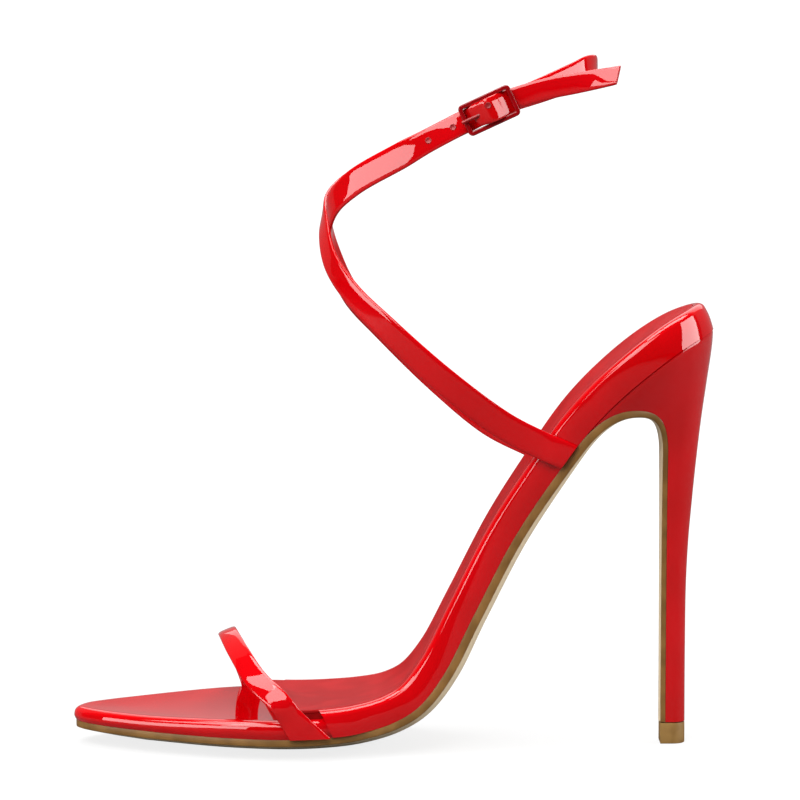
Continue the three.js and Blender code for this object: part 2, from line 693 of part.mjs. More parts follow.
// The outer strap: from the outer side of the shank across the instep, round the far side
// and the back of the ankle, to the buckle's centre bar. Columns: shares of reach, spread
// and rise, then turn and tilt in degrees, and width as a share of its width at the foot.
const outerStrapRows = [
  { at: [-0.12, -0.92, 0.055], turn: 0, tilt: 0, width: 0.99 },
  { at: [-0.3, -1.02, 0.178], turn: 4, tilt: 0, width: 0.95 },
  { at: [-0.476, -0.9, 0.32], turn: 12, tilt: 0, width: 0.85 },
  { at: [-0.575, -0.66, 0.405], turn: 24, tilt: 0, width: 0.79 },
  { at: [-0.64, -0.36, 0.49], turn: 42, tilt: 0, width: 0.82 },
  { at: [-0.66, -0.06, 0.582], turn: 62, tilt: 0, width: 0.82 },
  { at: [-0.648, 0.22, 0.645], turn: 98, tilt: 0, width: 0.82 },
  { at: [-0.55, 0.56, 0.719], turn: 138, tilt: 0, width: 0.71 },
  { at: [-0.35, 0.88, 0.806], turn: 166, tilt: 0, width: 0.69 },
  { at: [-0.16, 0.98, 0.884], turn: 180, tilt: 0, width: 0.7 },
  { at: [0.02, 0.8, 0.941], turn: 196, tilt: 0, width: 0.71 },
  { at: [0.125, 0.44, 0.98], turn: 222, tilt: 0, width: 0.76 },
  { at: [0.162, 0.06, 1.009], turn: 268, tilt: 0, width: 0.76 },
  { at: [0.14, -0.3, 1.013], turn: 322, tilt: 0, width: 0.74 },
  { at: [0.09, -0.56, 0.996], turn: 344, tilt: 0, width: 0.66 },
];

// The inner strap: from the inner side of the shank, under the outer strap at the front,
// and along the outer side to the buckle, in the same columns
const innerStrapRows = [
  { at: [-0.15, 0.92, 0.024], turn: 180, tilt: 0, width: 0.99 },
  { at: [-0.315, 1.02, 0.143], turn: 176, tilt: 0, width: 0.95 },
  { at: [-0.482, 0.88, 0.287], turn: 168, tilt: 0, width: 0.85 },
  { at: [-0.575, 0.62, 0.378], turn: 154, tilt: 0, width: 0.79 },
  { at: [-0.625, 0.3, 0.475], turn: 134, tilt: 0, width: 0.78 },
  { at: [-0.643, 0.02, 0.565], turn: 96, tilt: 0, width: 0.84 },
  { at: [-0.633, -0.26, 0.638], turn: 56, tilt: 0, width: 0.92 },
  { at: [-0.572, -0.5, 0.697], turn: 32, tilt: 0, width: 0.98 },
  { at: [-0.43, -0.8, 0.768], turn: 14, tilt: 0, width: 0.98 },
];

function strapRow({ at, turn, tilt, width }) {
  return { point: anklePoint(at), facing: facing(turn, tilt), width: width * strap.width };
}

function strapFootRows(side) {
  const toward = facing(side === "outer" ? 0 : 180, 0);
  const ahead = side === "outer" ? 0 : strap.innerAhead;
  return strapFootPlaces.map(({ back, rise, out }) => ({
    point: strapFoot(side, strapS + back - ahead, rise * rimHeight, out),
    facing: toward,
    width: strap.width,
  }));
}

function buckleRow(u, n, width = strap.tongueWidth, w = 0) {
  return { point: atBuckle(u, n, w), facing: buckleFacing, width };
}

// The free end of the tongue: along the buckle, out from it, down across it, and its share
// of the tongue's width
const tongueEndRows = [
  { u: 19.3, n: -1.1, w: -1.6, width: 1 },
  { u: 26.5, n: 0, w: -3.4, width: 0.97 },
  { u: 39.1, n: 3, w: -6.5, width: 0.88 },
];
const tongueSlant = -0.32; // its cut end leans by this much of its width
const outerBandRows = [
  ...strapFootRows("outer"),
  ...outerStrapRows.map(strapRow),
  buckleRow(halfBuckle + 6, secondLayer, strap.tongueWidth * 0.84),
  buckleRow(halfBuckle, secondLayer),
  buckleRow(barInside - 2, (secondLayer + underBar + gap) / 2),
  buckleRow(sleeveRadius * 0.6, -(sleeveRadius - buckle.sleeve / 2)),
];
const overShare = 0.72; // how far the tongue has come down midway between the bars
const tongueRows = [
  ...strapFootRows("inner"),
  ...innerStrapRows.map(strapRow),
  buckleRow(-halfBuckle - 12, underBar - gap, strap.width * 0.88, -0.35),
  buckleRow(-halfBuckle - 1, underBar, strap.tongueWidth * 1.1),
  buckleRow(-barInside, underBar, strap.tongueWidth * 1.05),
  buckleRow(-barInside / 2, (underBar + overBar) * overShare),
  buckleRow(0, overBar),
  buckleRow(barInside / 2, (underBar + overBar) * overShare),
  buckleRow(barInside, underBar),
  buckleRow(halfBuckle + 1, underBar),
  ...tongueEndRows.map(({ u, n, w, width }) => ({
    ...buckleRow(u, n, width * strap.tongueWidth, w), slant: tongueSlant,
  })),
];

// Everything below the feather line, which trims the feet of the straps
const belowFeather = plate(soleStations, onSole, [
  { inset: -beyond / 4, share: 0, height: () => -beyond / 2 },
  { inset: -beyond / 4, share: 1, height: () => -beyond / 2 },
  { inset: -beyond / 4, share: 1, height: () => 0 },
  { inset: -beyond / 4, share: 0, height: () => 0 },
], tipReach);

// Everything of a round bar across the buckle, out to a radius
function acrossBuckle(radius, length, along = 0, out = 0) {
  const bar = new THREE.CylinderGeometry(radius, radius, length, 14);
  bar.translate(along, 0, out);
  bar.applyMatrix4(buckleFrame);
  return fromGeometry(bar);
}

const prongRing = buckle.barRadius + gap + prong.loop;

function prongLine() {
  const lie = buckle.thickness / 2 + gap + prong.radius;
  return new THREE.CatmullRomCurve3([
    atBuckle(-prong.radius / 2, prongRing - prong.radius / 2),
    atBuckle(-barInside / 2, lie),
    atBuckle(-barInside, lie),
    atBuckle(-halfBuckle - prong.radius, lie),
  ]);
}

function roundRod(curve, radius, steps) {
  const circle = new THREE.Shape().absarc(0, 0, radius, 0, 2 * Math.PI);
  return fromGeometry(new THREE.ExtrudeGeometry(circle, {
    extrudePath: curve, steps, curveSegments: 4, bevelEnabled: false,
  }));
}

// The open punched holes of the tongue: along the buckle from its centre, and across it
const holeRows = [
  { u: -11.2, w: -0.1 },
  { u: -19, w: -1.1 },
];
function punchedHoles() {
  return holeRows.map(({ u, w }) => {
    const pin = new THREE.CylinderGeometry(strap.hole / 2, strap.hole / 2, 6 * strap.thickness, 10);
    pin.rotateX(Math.PI / 2);
    pin.translate(u, w, underBar);
    pin.applyMatrix4(buckleFrame);
    return fromGeometry(pin);
  }).reduce((all, pin) => all.add(pin));
}

function ankleStraps() {
  const barWay = acrossBuckle(buckle.barRadius + gap, 2 * strap.tongueWidth);
  const sleeve = acrossBuckle(sleeveRadius, strap.tongueWidth);
  const slotHalf = prong.width / 2 + gap;
  const slot = boxSolid(
    [-2 * sleeveRadius, -slotHalf, -2 * sleeveRadius],
    [prongRing + gap, slotHalf, sleeveRadius + gap / 2],
    buckleFrame);
  const prongWay = roundRod(prongLine(), prong.radius + gap, 6);
  const outerBand = band(outerBandRows, 3, strap.thickness).add(sleeve).subtract(barWay).subtract(slot);
  const tongue = band(tongueRows, 3, strap.thickness).subtract(prongWay).subtract(punchedHoles());
  return outerBand.add(tongue).subtract(belowFeather);
}

function buckleBody() {
  const { bar, bevel, corner } = buckle;
  const outline = (length, width, radius) => {
    const path = new THREE.Shape();
    const x = length / 2 - radius;
    const y = width / 2 - radius;
    path.absarc(x, y, radius, 0, Math.PI / 2);
    path.absarc(-x, y, radius, Math.PI / 2, Math.PI);
    path.absarc(-x, -y, radius, Math.PI, 1.5 * Math.PI);
    path.absarc(x, -y, radius, 1.5 * Math.PI, 2 * Math.PI);
    return path;
  };
  const shape = outline(buckle.length - 2 * bevel, buckle.width - 2 * bevel, corner);
  const inset = 2 * (bar - bevel);
  shape.holes.push(outline(buckle.length - inset, buckle.width - inset, corner));
  const ring = new THREE.ExtrudeGeometry(shape, {
    depth: buckle.thickness - 2 * bevel,
    bevelSize: bevel,
    bevelThickness: bevel,
    bevelSegments: 1,
    curveSegments: 3,
  });
  ring.translate(0, 0, bevel - buckle.thickness / 2);
  ring.applyMatrix4(buckleFrame);
  return fromGeometry(ring).add(acrossBuckle(buckle.barRadius, buckle.width - bar));
}

function prongBody() {
  const barWay = acrossBuckle(buckle.barRadius + gap, 2 * prong.width);
  const ring = acrossBuckle(prongRing, prong.width);
  return ring.add(roundRod(prongLine(), prong.radius, 8)).subtract(barWay);
}

// The toe strap: from the outer side over the toes to the inner side. Columns: shares of
// the way between its feet, of the lean forward, of the half width and of the rise, then
// turn and tilt in degrees, and width as a share of its own.
const toeStrapRows = [
  { way: 0.0, lean: 0.54, side: -1.0, rise: 0.42, turn: 6, tilt: 14, width: 1.06 },
  { way: 0.08, lean: 0.84, side: -0.83, rise: 0.61, turn: 20, tilt: 36, width: 1.03 },
  { way: 0.26, lean: 1, side: -0.47, rise: 0.85, turn: 44, tilt: 56, width: 0.96 },
  { way: 0.5, lean: 0.97, side: 0.02, rise: 0.97, turn: 90, tilt: 66, width: 0.88 },
  { way: 0.76, lean: 0.72, side: 0.5, rise: 0.86, turn: 140, tilt: 58, width: 0.9 },
  { way: 0.93, lean: 0.42, side: 0.85, rise: 0.62, turn: 164, tilt: 36, width: 0.97 },
  { way: 1.0, lean: 0.22, side: 1.0, rise: 0.43, turn: 176, tilt: 12, width: 1 },
];

// Its foot: height as a share of the platform's edge, how far it stands off the wall, how
// far forward it has come on each side, and its width as a share. It starts below the
// feather line and is trimmed there.
const toeFootPlaces = [
  { rise: -0.5, off: -1, outer: -2.4, inner: -1.4, width: 1.5 },
  { rise: 0.1, off: -0.6, outer: 0.5, inner: -0.6, width: 1.42 },
  { rise: 0.62, off: 0, outer: 2.9, inner: 0.2, width: 1.3 },
  { rise: 1.25, off: 0.1, outer: 5.5, inner: 1.4, width: 1.13 },
];

function toeStrapPath() {
  const { thickness, lean: leanRun, outerFoot, innerFoot } = toeStrap;
  const feet = { outer: soleAtX(outerFoot), inner: soleAtX(innerFoot) };
  const clear = platform.bulge + gap + thickness / 2;
  const reach = {
    outer: Math.abs(breadthAt(feet.outer).outer) + clear,
    inner: Math.abs(breadthAt(feet.inner).inner) + clear,
  };
  const foot = (side) => toeFootPlaces.map((place) => {
    const point = onSole(feet[side], 0, place.rise * platform.edge);
    point.x -= place[side];
    point.y = (side === "outer" ? -1 : 1) * (reach[side] + place.off * platform.bulge);
    return {
      point,
      facing: facing(side === "outer" ? 0 : 180, 0),
      width: place.width * toeStrap.width,
    };
  });
  const top = toeStrapRows.map(({ way, lean, side, rise, turn, tilt, width }) => ({
    point: new THREE.Vector3(
      THREE.MathUtils.lerp(outerFoot, innerFoot, way) - lean * leanRun,
      side * (side < 0 ? reach.outer : reach.inner),
      featherHeight + rise * toeStrap.rise),
    facing: facing(turn, tilt),
    width: width * toeStrap.width,
  }));
  return [...foot("outer"), ...top, ...foot("inner").reverse()];
}

// Each piece with its colour and finish
const patentRed = { color: 0xc00408, roughness: 0.08, metalness: 0 };
const satinRed = { color: 0xa81218, roughness: 0.5, metalness: 0 };
const edgeBrown = { color: 0xa8854a, roughness: 0.45, metalness: 0 };
const tanTopPiece = { color: 0x7a5420, roughness: 0.6, metalness: 0 };
const enamelRed = { color: 0x8a0005, roughness: 0.2, metalness: 0.5 };

const sandal = new THREE.Group();
function addPiece(name, solid, look) {
  const { numProp, vertProperties, triVerts } = solid.getMesh();
  const geometry = new THREE.BufferGeometry();
  const places = Float32Array.from(
    { length: (vertProperties.length / numProp) * 3 },
    (_, i) => vertProperties[Math.floor(i / 3) * numProp + (i % 3)]);
  geometry.setAttribute("position", new THREE.BufferAttribute(places, 3));
  geometry.setIndex(new THREE.BufferAttribute(triVerts, 1));
  geometry.computeVertexNormals();
  const mesh = new THREE.Mesh(geometry, new THREE.MeshStandardMaterial(look));
  mesh.name = name;
  sandal.add(mesh);
}

// The places that the feet of the straps take in the side of the wrapped sole
const toeRows = toeStrapPath();
const footRows = toeFootPlaces.length + 1;
const strapWays = [
  band(outerBandRows.slice(0, footRows), 3, strap.thickness, gap),
  band(tongueRows.slice(0, footRows), 3, strap.thickness, gap),
  band(toeRows.slice(0, footRows), 3, toeStrap.thickness, gap),
  band(toeRows.slice(-footRows), 3, toeStrap.thickness, gap),
];
const wrapped = strapWays.reduce((left, way) => left.subtract(way), wrappedSole());

addPiece("outsole", outsoleSheet(), edgeBrown);
addPiece("midsole", wrapped, patentRed);
addPiece("insole", insoleSheet(), satinRed);
addPiece("heel", heelBlock(), patentRed);
addPiece("top_piece", footPiece(), tanTopPiece);
addPiece("toe_strap", band(toeRows, 3, toeStrap.thickness).subtract(belowFeather), patentRed);
addPiece("ankle_straps", ankleStraps(), patentRed);
addPiece("buckle", buckleBody(), enamelRed);
addPiece("buckle_prong", prongBody(), enamelRed);

export default sandal;
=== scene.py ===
"""The look of a red patent stiletto sandal, left foot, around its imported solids.

Shapes are worked out in millimetres from the same sizes and tables as the solids, on finer
grids: the sole in flattened coordinates (s along the feather line, y across the foot and h
square to the line), the straps as sections carried along smooth paths.
"""

import math

import bmesh
import bpy
import numpy as np
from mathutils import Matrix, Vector


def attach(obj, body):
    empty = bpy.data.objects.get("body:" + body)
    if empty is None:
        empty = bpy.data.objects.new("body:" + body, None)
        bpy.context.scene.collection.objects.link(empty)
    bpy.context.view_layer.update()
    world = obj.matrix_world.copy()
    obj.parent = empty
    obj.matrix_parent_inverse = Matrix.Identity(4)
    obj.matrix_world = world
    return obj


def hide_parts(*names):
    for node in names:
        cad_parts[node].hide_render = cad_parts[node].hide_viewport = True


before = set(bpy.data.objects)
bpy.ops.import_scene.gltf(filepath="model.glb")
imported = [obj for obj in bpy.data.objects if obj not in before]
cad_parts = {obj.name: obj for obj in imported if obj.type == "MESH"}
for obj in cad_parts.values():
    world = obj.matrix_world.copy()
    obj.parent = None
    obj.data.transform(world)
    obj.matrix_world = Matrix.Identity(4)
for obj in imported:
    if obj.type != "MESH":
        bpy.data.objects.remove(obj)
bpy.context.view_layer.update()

MM = 0.001

# Sizes, in millimetres; GAP is the room between neighbouring solids
GAP = 0.3
SOLE_LENGTH, TOE_AHEAD, SEAT_RISE = 194.9, 63.5, 120.9
WIDTHS = {"ball": 71.0, "waist": 36.0, "seat": 43.0}
TOE_DRIFT = 1.5
PLATFORM_EDGE, BULGE, SWELL, ROUND, SHOULDER, PLATFORM_DISH = 5.5, 0.7, 2.1, 2.0, 0.6, 0.9
RIM_EDGE, RIM_WIDTH, RIM_RECESS, RIM_DISH, INNER_FALL = 8.9, 2.6, 1.2, 2.2, 1.2
RIM_START = {"outer": 12.2, "inner": -1.0}
RIM_LEAN, RIM_LEAN_OVER, RIM_EASE, DRAW_IN = 6.5, 20, 0.25, 0.45
INSOLE_THICKNESS, INSOLE_CLEAR, INSOLE_ROLL, INSOLE_SPINE, BOARD_DEPTH = 1.0, 0.12, 0.45, 14, 2.2
INSOLE_START = {"outer": 3.0, "inner": -9.5}
TREAD_EDGE, SHANK_EDGE, FLAP_EDGE, TREAD_ROUND = 1.9, 2.3, 1.3, 0.35
CROWN, FLAP_CROWN, FLAT = 4.9, 0.35, 0.7
HEEL_EASE, HEEL_ROUND = 0.8, 1.5
HEEL_SET_IN, FOOT_LENGTH, FOOT_WIDTH = 8.0, 6.1, 8.0
THROAT_DROP, THROAT_REACH = 7.4, 27.3
TOP_PIECE_HEIGHT = 6.4
STRAP_THICK, STRAP_WIDTH, TONGUE_WIDTH = 1.3, 8.4, 6.4
STRAP_CROWN, FLAT_CROWN, HOLE_LIFT = 0.14, 0.07, 11
REACH, SPREAD, RISE = 100.0, 25.0, 112.0
STRAP_STATION, INNER_AHEAD, TUCK, TRIM_HEIGHT = 0.762, 4.0, 0.5, 0.15
TOE_WIDTH, TOE_RISE, TOE_LEAN = 6.6, 28.0, 17.0
TOE_FOOT = {"outer": 9.0, "inner": -9.5}
BUCKLE_LENGTH, BUCKLE_WIDTH, BAR, BUCKLE_THICK = 16.8, 9.9, 1.4, 1.5
BAR_RADIUS, SLOPE, YAW, SLEEVE = 0.6, 24.8, 3.0, 0.8
PRONG_RADIUS, PRONG_LOOP, PRONG_WIDTH = 0.5, 0.6, 1.2

# Side view of the feather line: shares of the length and of the rise
PROFILE = np.array([
    (0, 0.004), (0.12, 0.002), (0.274, 0), (0.387, 0.002), (0.449, 0.011), (0.5, 0.031),
    (0.539, 0.067), (0.577, 0.143), (0.624, 0.29), (0.687, 0.486), (0.752, 0.645),
    (0.814, 0.776), (0.881, 0.879), (0.947, 0.957), (1, 1),
])

# Outline of the feather line: place, the width that the shares belong to, outer, inner
OUTLINE = [
    (0, "ball", 0, 0), (0.009, "ball", 0.078, 0.1), (0.033, "ball", 0.16, 0.188),
    (0.059, "ball", 0.223, 0.262), (0.107, "ball", 0.32, 0.372), (0.18, "ball", 0.424, 0.483),
    (0.25, "ball", 0.477, 0.52), (0.32, "ball", 0.444, 0.49), (0.394, "ball", 0.352, 0.394),
    (0.487, "waist", 0.556, 0.57), (0.603, "waist", 0.5, 0.467), (0.733, "waist", 0.517, 0.506),
    (0.836, "seat", 0.479, 0.498), (0.915, "seat", 0.49, 0.512), (0.966, "seat", 0.377, 0.395),
    (0.991, "seat", 0.2, 0.21), (1, "seat", 0, 0),
]

# Heights along the sole as shares: place, platform, rim, inner fall, crown, dish
HEIGHTS = np.array([
    (0, 0.76, 1, 1, 0.5, 0.3), (0.087, 0.8, 1, 1, 0.66, 0.6), (0.18, 0.95, 1, 1, 0.93, 0.8),
    (0.26, 1, 0.94, 1, 1, 0.8), (0.35, 1, 0.93, 0.45, 0.96, 0.7), (0.43, 1, 0.92, 0, 0.72, 0.5),
    (0.53, 1, 0.91, 0, 0.54, 0.4), (0.7, 1, 0.94, 0, 0.52, 0.6), (0.8, 1, 1, 0, 0.42, 0.9),
    (0.93, 1, 1.04, 0, 0.36, 1), (1, 1, 1.04, 0, 0.3, 1),
])
INNER_CROWN = 0.78

# Narrowing of the heel: share of the drop, depth of the step back, breadth of the step in
HEEL = np.array([
    (0, 1, 1), (0.045, 0.95, 0.88), (0.13, 0.77, 0.62), (0.23, 0.56, 0.39), (0.335, 0.38, 0.23),
    (0.437, 0.23, 0.13), (0.54, 0.1, 0.07), (0.66, 0.02, 0.03), (0.83, 0, 0.01), (1, 0, 0),
])


def smooth(x, low, high):
    """Rises from 0 at low to 1 at high along 3t² - 2t³."""
    t = np.clip((np.asarray(x, float) - low) / (high - low), 0, 1)
    return t * t * (3 - 2 * t)


def column(table, index):
    """A cubic through one column of a table, with slopes taken from the rows on either side."""
    at, value = table[:, 0], table[:, index]
    last = len(at) - 1
    before, after = np.maximum(np.arange(last + 1) - 1, 0), np.minimum(np.arange(last + 1) + 1, last)
    slope = (value[after] - value[before]) / (at[after] - at[before])

    def read(x):
        x = np.asarray(x, float)
        i = np.clip(np.searchsorted(at, x, side="right") - 1, 0, last - 1)
        step = at[i + 1] - at[i]
        t = np.clip((x - at[i]) / step, 0, 1)
        fall = 2 * t**3 - 3 * t**2 + 1
        return (value[i] * fall + value[i + 1] * (1 - fall)
                + (t**3 - 2 * t**2 + t) * step * slope[i] + (t**3 - t**2) * step * slope[i + 1])

    return read


platform_share, rim_share, fall_share, crown_share, dish_share = (column(HEIGHTS, i) for i in range(1, 6))
depth_share, breadth_share = column(HEEL, 1), column(HEEL, 2)


def curve_through(points, closed=False):
    """A centripetal cubic through points, read at 0 to 1 with equal steps from point to point."""
    p = np.asarray(points, float)
    q = np.vstack([p[-1:], p, p[:2]]) if closed else np.vstack([2 * p[0] - p[1], p, 2 * p[-1] - p[-2]])
    spans = len(q) - 3

    def read(t):
        place = np.clip(np.asarray(t, float), 0, 1) * spans
        i = np.minimum(place.astype(int), spans - 1)
        w = (place - i)[..., None]
        x0, x1, x2, x3 = (q[i + k] for k in range(4))
        d0, d1, d2 = (np.sqrt(np.linalg.norm(b - a, axis=-1, keepdims=True))
                      for a, b in ((x0, x1), (x1, x2), (x2, x3)))
        d1 = np.where(d1 < 1e-4, 1.0, d1)
        d0, d2 = np.where(d0 < 1e-4, d1, d0), np.where(d2 < 1e-4, d1, d2)
        t1 = ((x1 - x0) / d0 - (x2 - x0) / (d0 + d1) + (x2 - x1) / d1) * d1
        t2 = ((x2 - x1) / d1 - (x3 - x1) / (d1 + d2) + (x3 - x2) / d2) * d1
        return x1 + t1 * w + (3 * (x2 - x1) - 2 * t1 - t2) * w**2 + (2 * (x1 - x2) + t1 + t2) * w**3

    return read


def unit(v):
    """Vectors divided by their own length."""
    return v / np.linalg.norm(v, axis=-1, keepdims=True).clip(1e-12)


def run_along(path):
    """Distance from the first point of a line of points: the running sum of its steps."""
    return np.concatenate([[0], np.cumsum(np.linalg.norm(np.diff(path, axis=0), axis=1))])


def together(*values):
    """Numbers or arrays as float arrays of one common shape."""
    return np.broadcast_arrays(*(np.asarray(value, float) for value in values))


def squared_off(x, power):
    """A sine or cosine whose size is raised to a power below 1, which squares off a section."""
    return np.sign(x) * np.abs(x)**power


# The feather line as dense tables over its length
FEATHER = GAP + TREAD_EDGE + CROWN - FLAT
_line = curve_through(np.column_stack([PROFILE[:, 0] * SOLE_LENGTH - TOE_AHEAD,
                                       FEATHER + PROFILE[:, 1] * SEAT_RISE]))(np.linspace(0, 1, 20001))
_run = run_along(_line)
LENGTH = _run[-1]
_along = unit(np.gradient(_line, axis=0))
SEAT_BACK = SOLE_LENGTH - TOE_AHEAD


def on_sole(s, y, h):
    """The point at s along the feather line, h out from it square to the line, and y across."""
    s, y, h = together(s, y, h)
    u = np.clip(s, 0, LENGTH)
    x, z = np.interp(u, _run, _line[:, 0]), np.interp(u, _run, _line[:, 1])
    tx, tz = np.interp(u, _run, _along[:, 0]), np.interp(u, _run, _along[:, 1])
    return np.stack([x + tx * (s - u) - tz * h, y, z + tz * (s - u) + tx * h], -1)


def sole_at(x):
    """Distance along the feather line at which it passes x."""
    return np.interp(x, _line[:, 0], _run)


# Both sides of the outline over the row number
_drift = [TOE_DRIFT * max(0, 1 - at / 0.25) for at, *_ in OUTLINE]
_out = [(at * LENGTH, d - outer * WIDTHS[of], d + inner * WIDTHS[of])
        for (at, of, outer, inner), d in zip(OUTLINE, _drift)]
_loop = curve_through(_out + [(s, inner, outer) for s, outer, inner in _out[-2:0:-1]], closed=True)
LAST_ROW = len(OUTLINE) - 1
_rows = np.linspace(0, LAST_ROW, 4001)
_stations = _loop(_rows / (2 * LAST_ROW))
_stations[[0, -1], 1:] = _stations[[0, -1], 1:].mean(axis=1, keepdims=True)
SIDES = {"outer": 1, "inner": 2}


def breadth(s, side):
    """Place across the foot of the outline on one side, at a distance along the sole."""
    return np.interp(s, _stations[:, 0], _stations[:, SIDES[side]])


def row_at(s):
    """The row number of the outline at a distance along the sole."""
    return np.interp(s, _stations[:, 0], _rows)


def stations(first=0.0, last=LAST_ROW, count=200):
    """Places along the sole, evenly spread over the rows of the outline, with both breadths."""
    rows = np.linspace(first, last, count)
    return np.column_stack([np.interp(rows, _rows, _stations[:, i]) for i in range(3)])


# The spine on which the rings of the sole close keeps this far from the toe and the seat
TIP = 0.087 * LENGTH


def dome(share):
    """1 on the spine, less the square of the share of the way out to the edge."""
    return 1 - share**2


# Heights over the feather line, all given by place along the sole, share of the way out, and y


def platform_edge(s, share, y):
    """Height of the platform's edge: its size times its share at this place along the sole."""
    return PLATFORM_EDGE * platform_share(s / LENGTH)


def rim_edge(s, share, y):
    """Height of the rim's edge: its size times its share, less a fall towards the inner side."""
    return (RIM_EDGE * rim_share(s / LENGTH)
            - INNER_FALL * fall_share(s / LENGTH) * smooth(y / WIDTHS["ball"], -0.25, 0.4))


def bed(s, share, y):
    """The bed: a recess below the rim's edge, dished by the dome."""
    return rim_edge(s, share, y) - RIM_RECESS - RIM_DISH * dish_share(s / LENGTH) * dome(share)


def platform_top(s, share, y):
    """The platform's top: the height of its edge, dished by the dome."""
    return platform_edge(s, share, y) - PLATFORM_DISH * dish_share(s / LENGTH) * dome(share)


def underside(s, share, y):
    """The wrapped underside: crowned downwards by the dome."""
    return -INNER_CROWN * CROWN * crown_share(s / LENGTH) * dome(share)


def edge_loop(st):
    """The outline as one closed loop: outer side from front to back, then the inner side back.
    Gives place, breadth, inward direction, and the spine point on which each ring closes."""
    square = st[-1, 2] - st[-1, 1] > 1
    inner = st[1:] if square else st[1:-1]
    s = np.concatenate([st[:, 0], inner[::-1, 0]])
    y = np.concatenate([st[:, 1], inner[::-1, 2]])
    step_s, step_y = np.roll(s, -1) - np.roll(s, 1), np.roll(y, -1) - np.roll(y, 1)
    inward = unit(np.column_stack([-step_y, step_s]))
    spine = np.clip(s, TIP, st[-1, 0] if square else st[-1, 0] - TIP)
    middle = np.interp(spine, st[:, 0], (st[:, 1] + st[:, 2]) / 2)
    return s, y, inward, spine, middle


def layered(loop, place, layers):
    """Rings of a sole: each layer is (inset, share, height); a point goes inset from the outline,
    then a share of the way out from the spine, and takes its height from a function."""
    s0, y0, inward, spine, middle = loop
    rings = []
    for inset, share, height in layers:
        s = spine + (s0 + inward[:, 0] * inset - spine) * share
        y = middle + (y0 + inward[:, 1] * inset - middle) * share
        h = height(s, share, y) if callable(height) else height
        rings.append(place(s, y, np.broadcast_to(h, s.shape)))
    return np.array(rings)


def side_layers(edge):
    """The wrapped side: it swells out by the sine of a share of SWELL, in radians, up to a quarter
    of an ellipse that rounds the edge."""
    swell = [(-BULGE * math.sin(SWELL * a), 1, lambda s, c, y, a=a: a * (edge(s, c, y) - ROUND))
             for a in np.linspace(0, 1, 8)]
    start = -BULGE * math.sin(SWELL)
    arc = [(start + (ROUND - start) * (1 - math.cos(q)), 1,
            lambda s, c, y, q=q: edge(s, c, y) - ROUND * (1 - math.sin(q)))
           for q in np.linspace(0, math.pi / 2, 10)[1:]]
    return swell + arc


def with_ends(grid):
    """Adds the middle of the first and last ring, so that both ends close."""
    first, last = grid[:1].mean(1, keepdims=True), grid[-1:].mean(1, keepdims=True)
    return np.concatenate([first.repeat(grid.shape[1], 1), grid, last.repeat(grid.shape[1], 1)])


def make_piece(name, sheets, material, replaces=(), wrap=True, values=None, sharp=40):
    """A closed mesh from one grid of points, or from several that meet (rows by columns by xyz,
    in millimetres): quads join neighbours, points that meet are merged, faces turn outwards."""
    sheets = sheets if isinstance(sheets, list) else [sheets]
    points, quads = [], []
    for sheet in sheets:
        rows, cols = sheet.shape[:2]
        ids = np.arange(rows * cols).reshape(rows, cols) + sum(len(p) for p in points)
        nxt = np.roll(ids, -1, axis=1) if wrap else ids[:, 1:]
        now = ids if wrap else ids[:, :-1]
        points.append(sheet.reshape(-1, 3) * MM)
        quads.append(np.stack([now[:-1], nxt[:-1], nxt[1:], now[1:]], -1).reshape(-1, 4))
    mesh = bpy.data.meshes.new(name)
    mesh.from_pydata(np.concatenate(points).tolist(), [], np.concatenate(quads).tolist())
    for key, grid in (values or {}).items():
        layer = mesh.attributes.new(key, "FLOAT", "POINT")
        layer.data.foreach_set("value", np.broadcast_to(grid, (rows, cols)).reshape(-1).astype(np.float32))
    b = bmesh.new()
    b.from_mesh(mesh)
    bmesh.ops.remove_doubles(b, verts=b.verts, dist=2e-6)
    bmesh.ops.dissolve_degenerate(b, edges=b.edges, dist=1e-7)
    bmesh.ops.recalc_face_normals(b, faces=b.faces)
    b.to_mesh(mesh)
    b.free()
    mesh.polygons.foreach_set("use_smooth", np.ones(len(mesh.polygons), bool))
    mesh.set_sharp_from_angle(angle=math.radians(sharp))
    mesh.materials.append(material)
    piece = bpy.data.objects.new(name, mesh)
    bpy.context.scene.collection.objects.link(piece)
    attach(piece, "root")
    if replaces:
        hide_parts(*replaces)


# ---------------------------------------------------------------- materials


def group_with(name, inputs, outputs):
    """A shader node group with inputs (name, socket type, default) and outputs (name, type)."""
    group = bpy.data.node_groups.new(name, "ShaderNodeTree")
    for label, kind, default in inputs:
        socket = group.interface.new_socket(label, in_out="INPUT", socket_type=kind)
        socket.default_value = default
    for label, kind in outputs:
        group.interface.new_socket(label, in_out="OUTPUT", socket_type=kind)
    return group, group.nodes.new("NodeGroupInput"), group.nodes.new("NodeGroupOutput")


def add(tree, kind, **settings):
    """A new node: settings that start with in_ go to its sockets, the others to the node."""
    node = tree.nodes.new(kind)
    for key, value in settings.items():
        if key.startswith("in_"):
            node.inputs[key[3:].replace("_", " ")].default_value = value
        else:
            setattr(node, key, value)
    return node


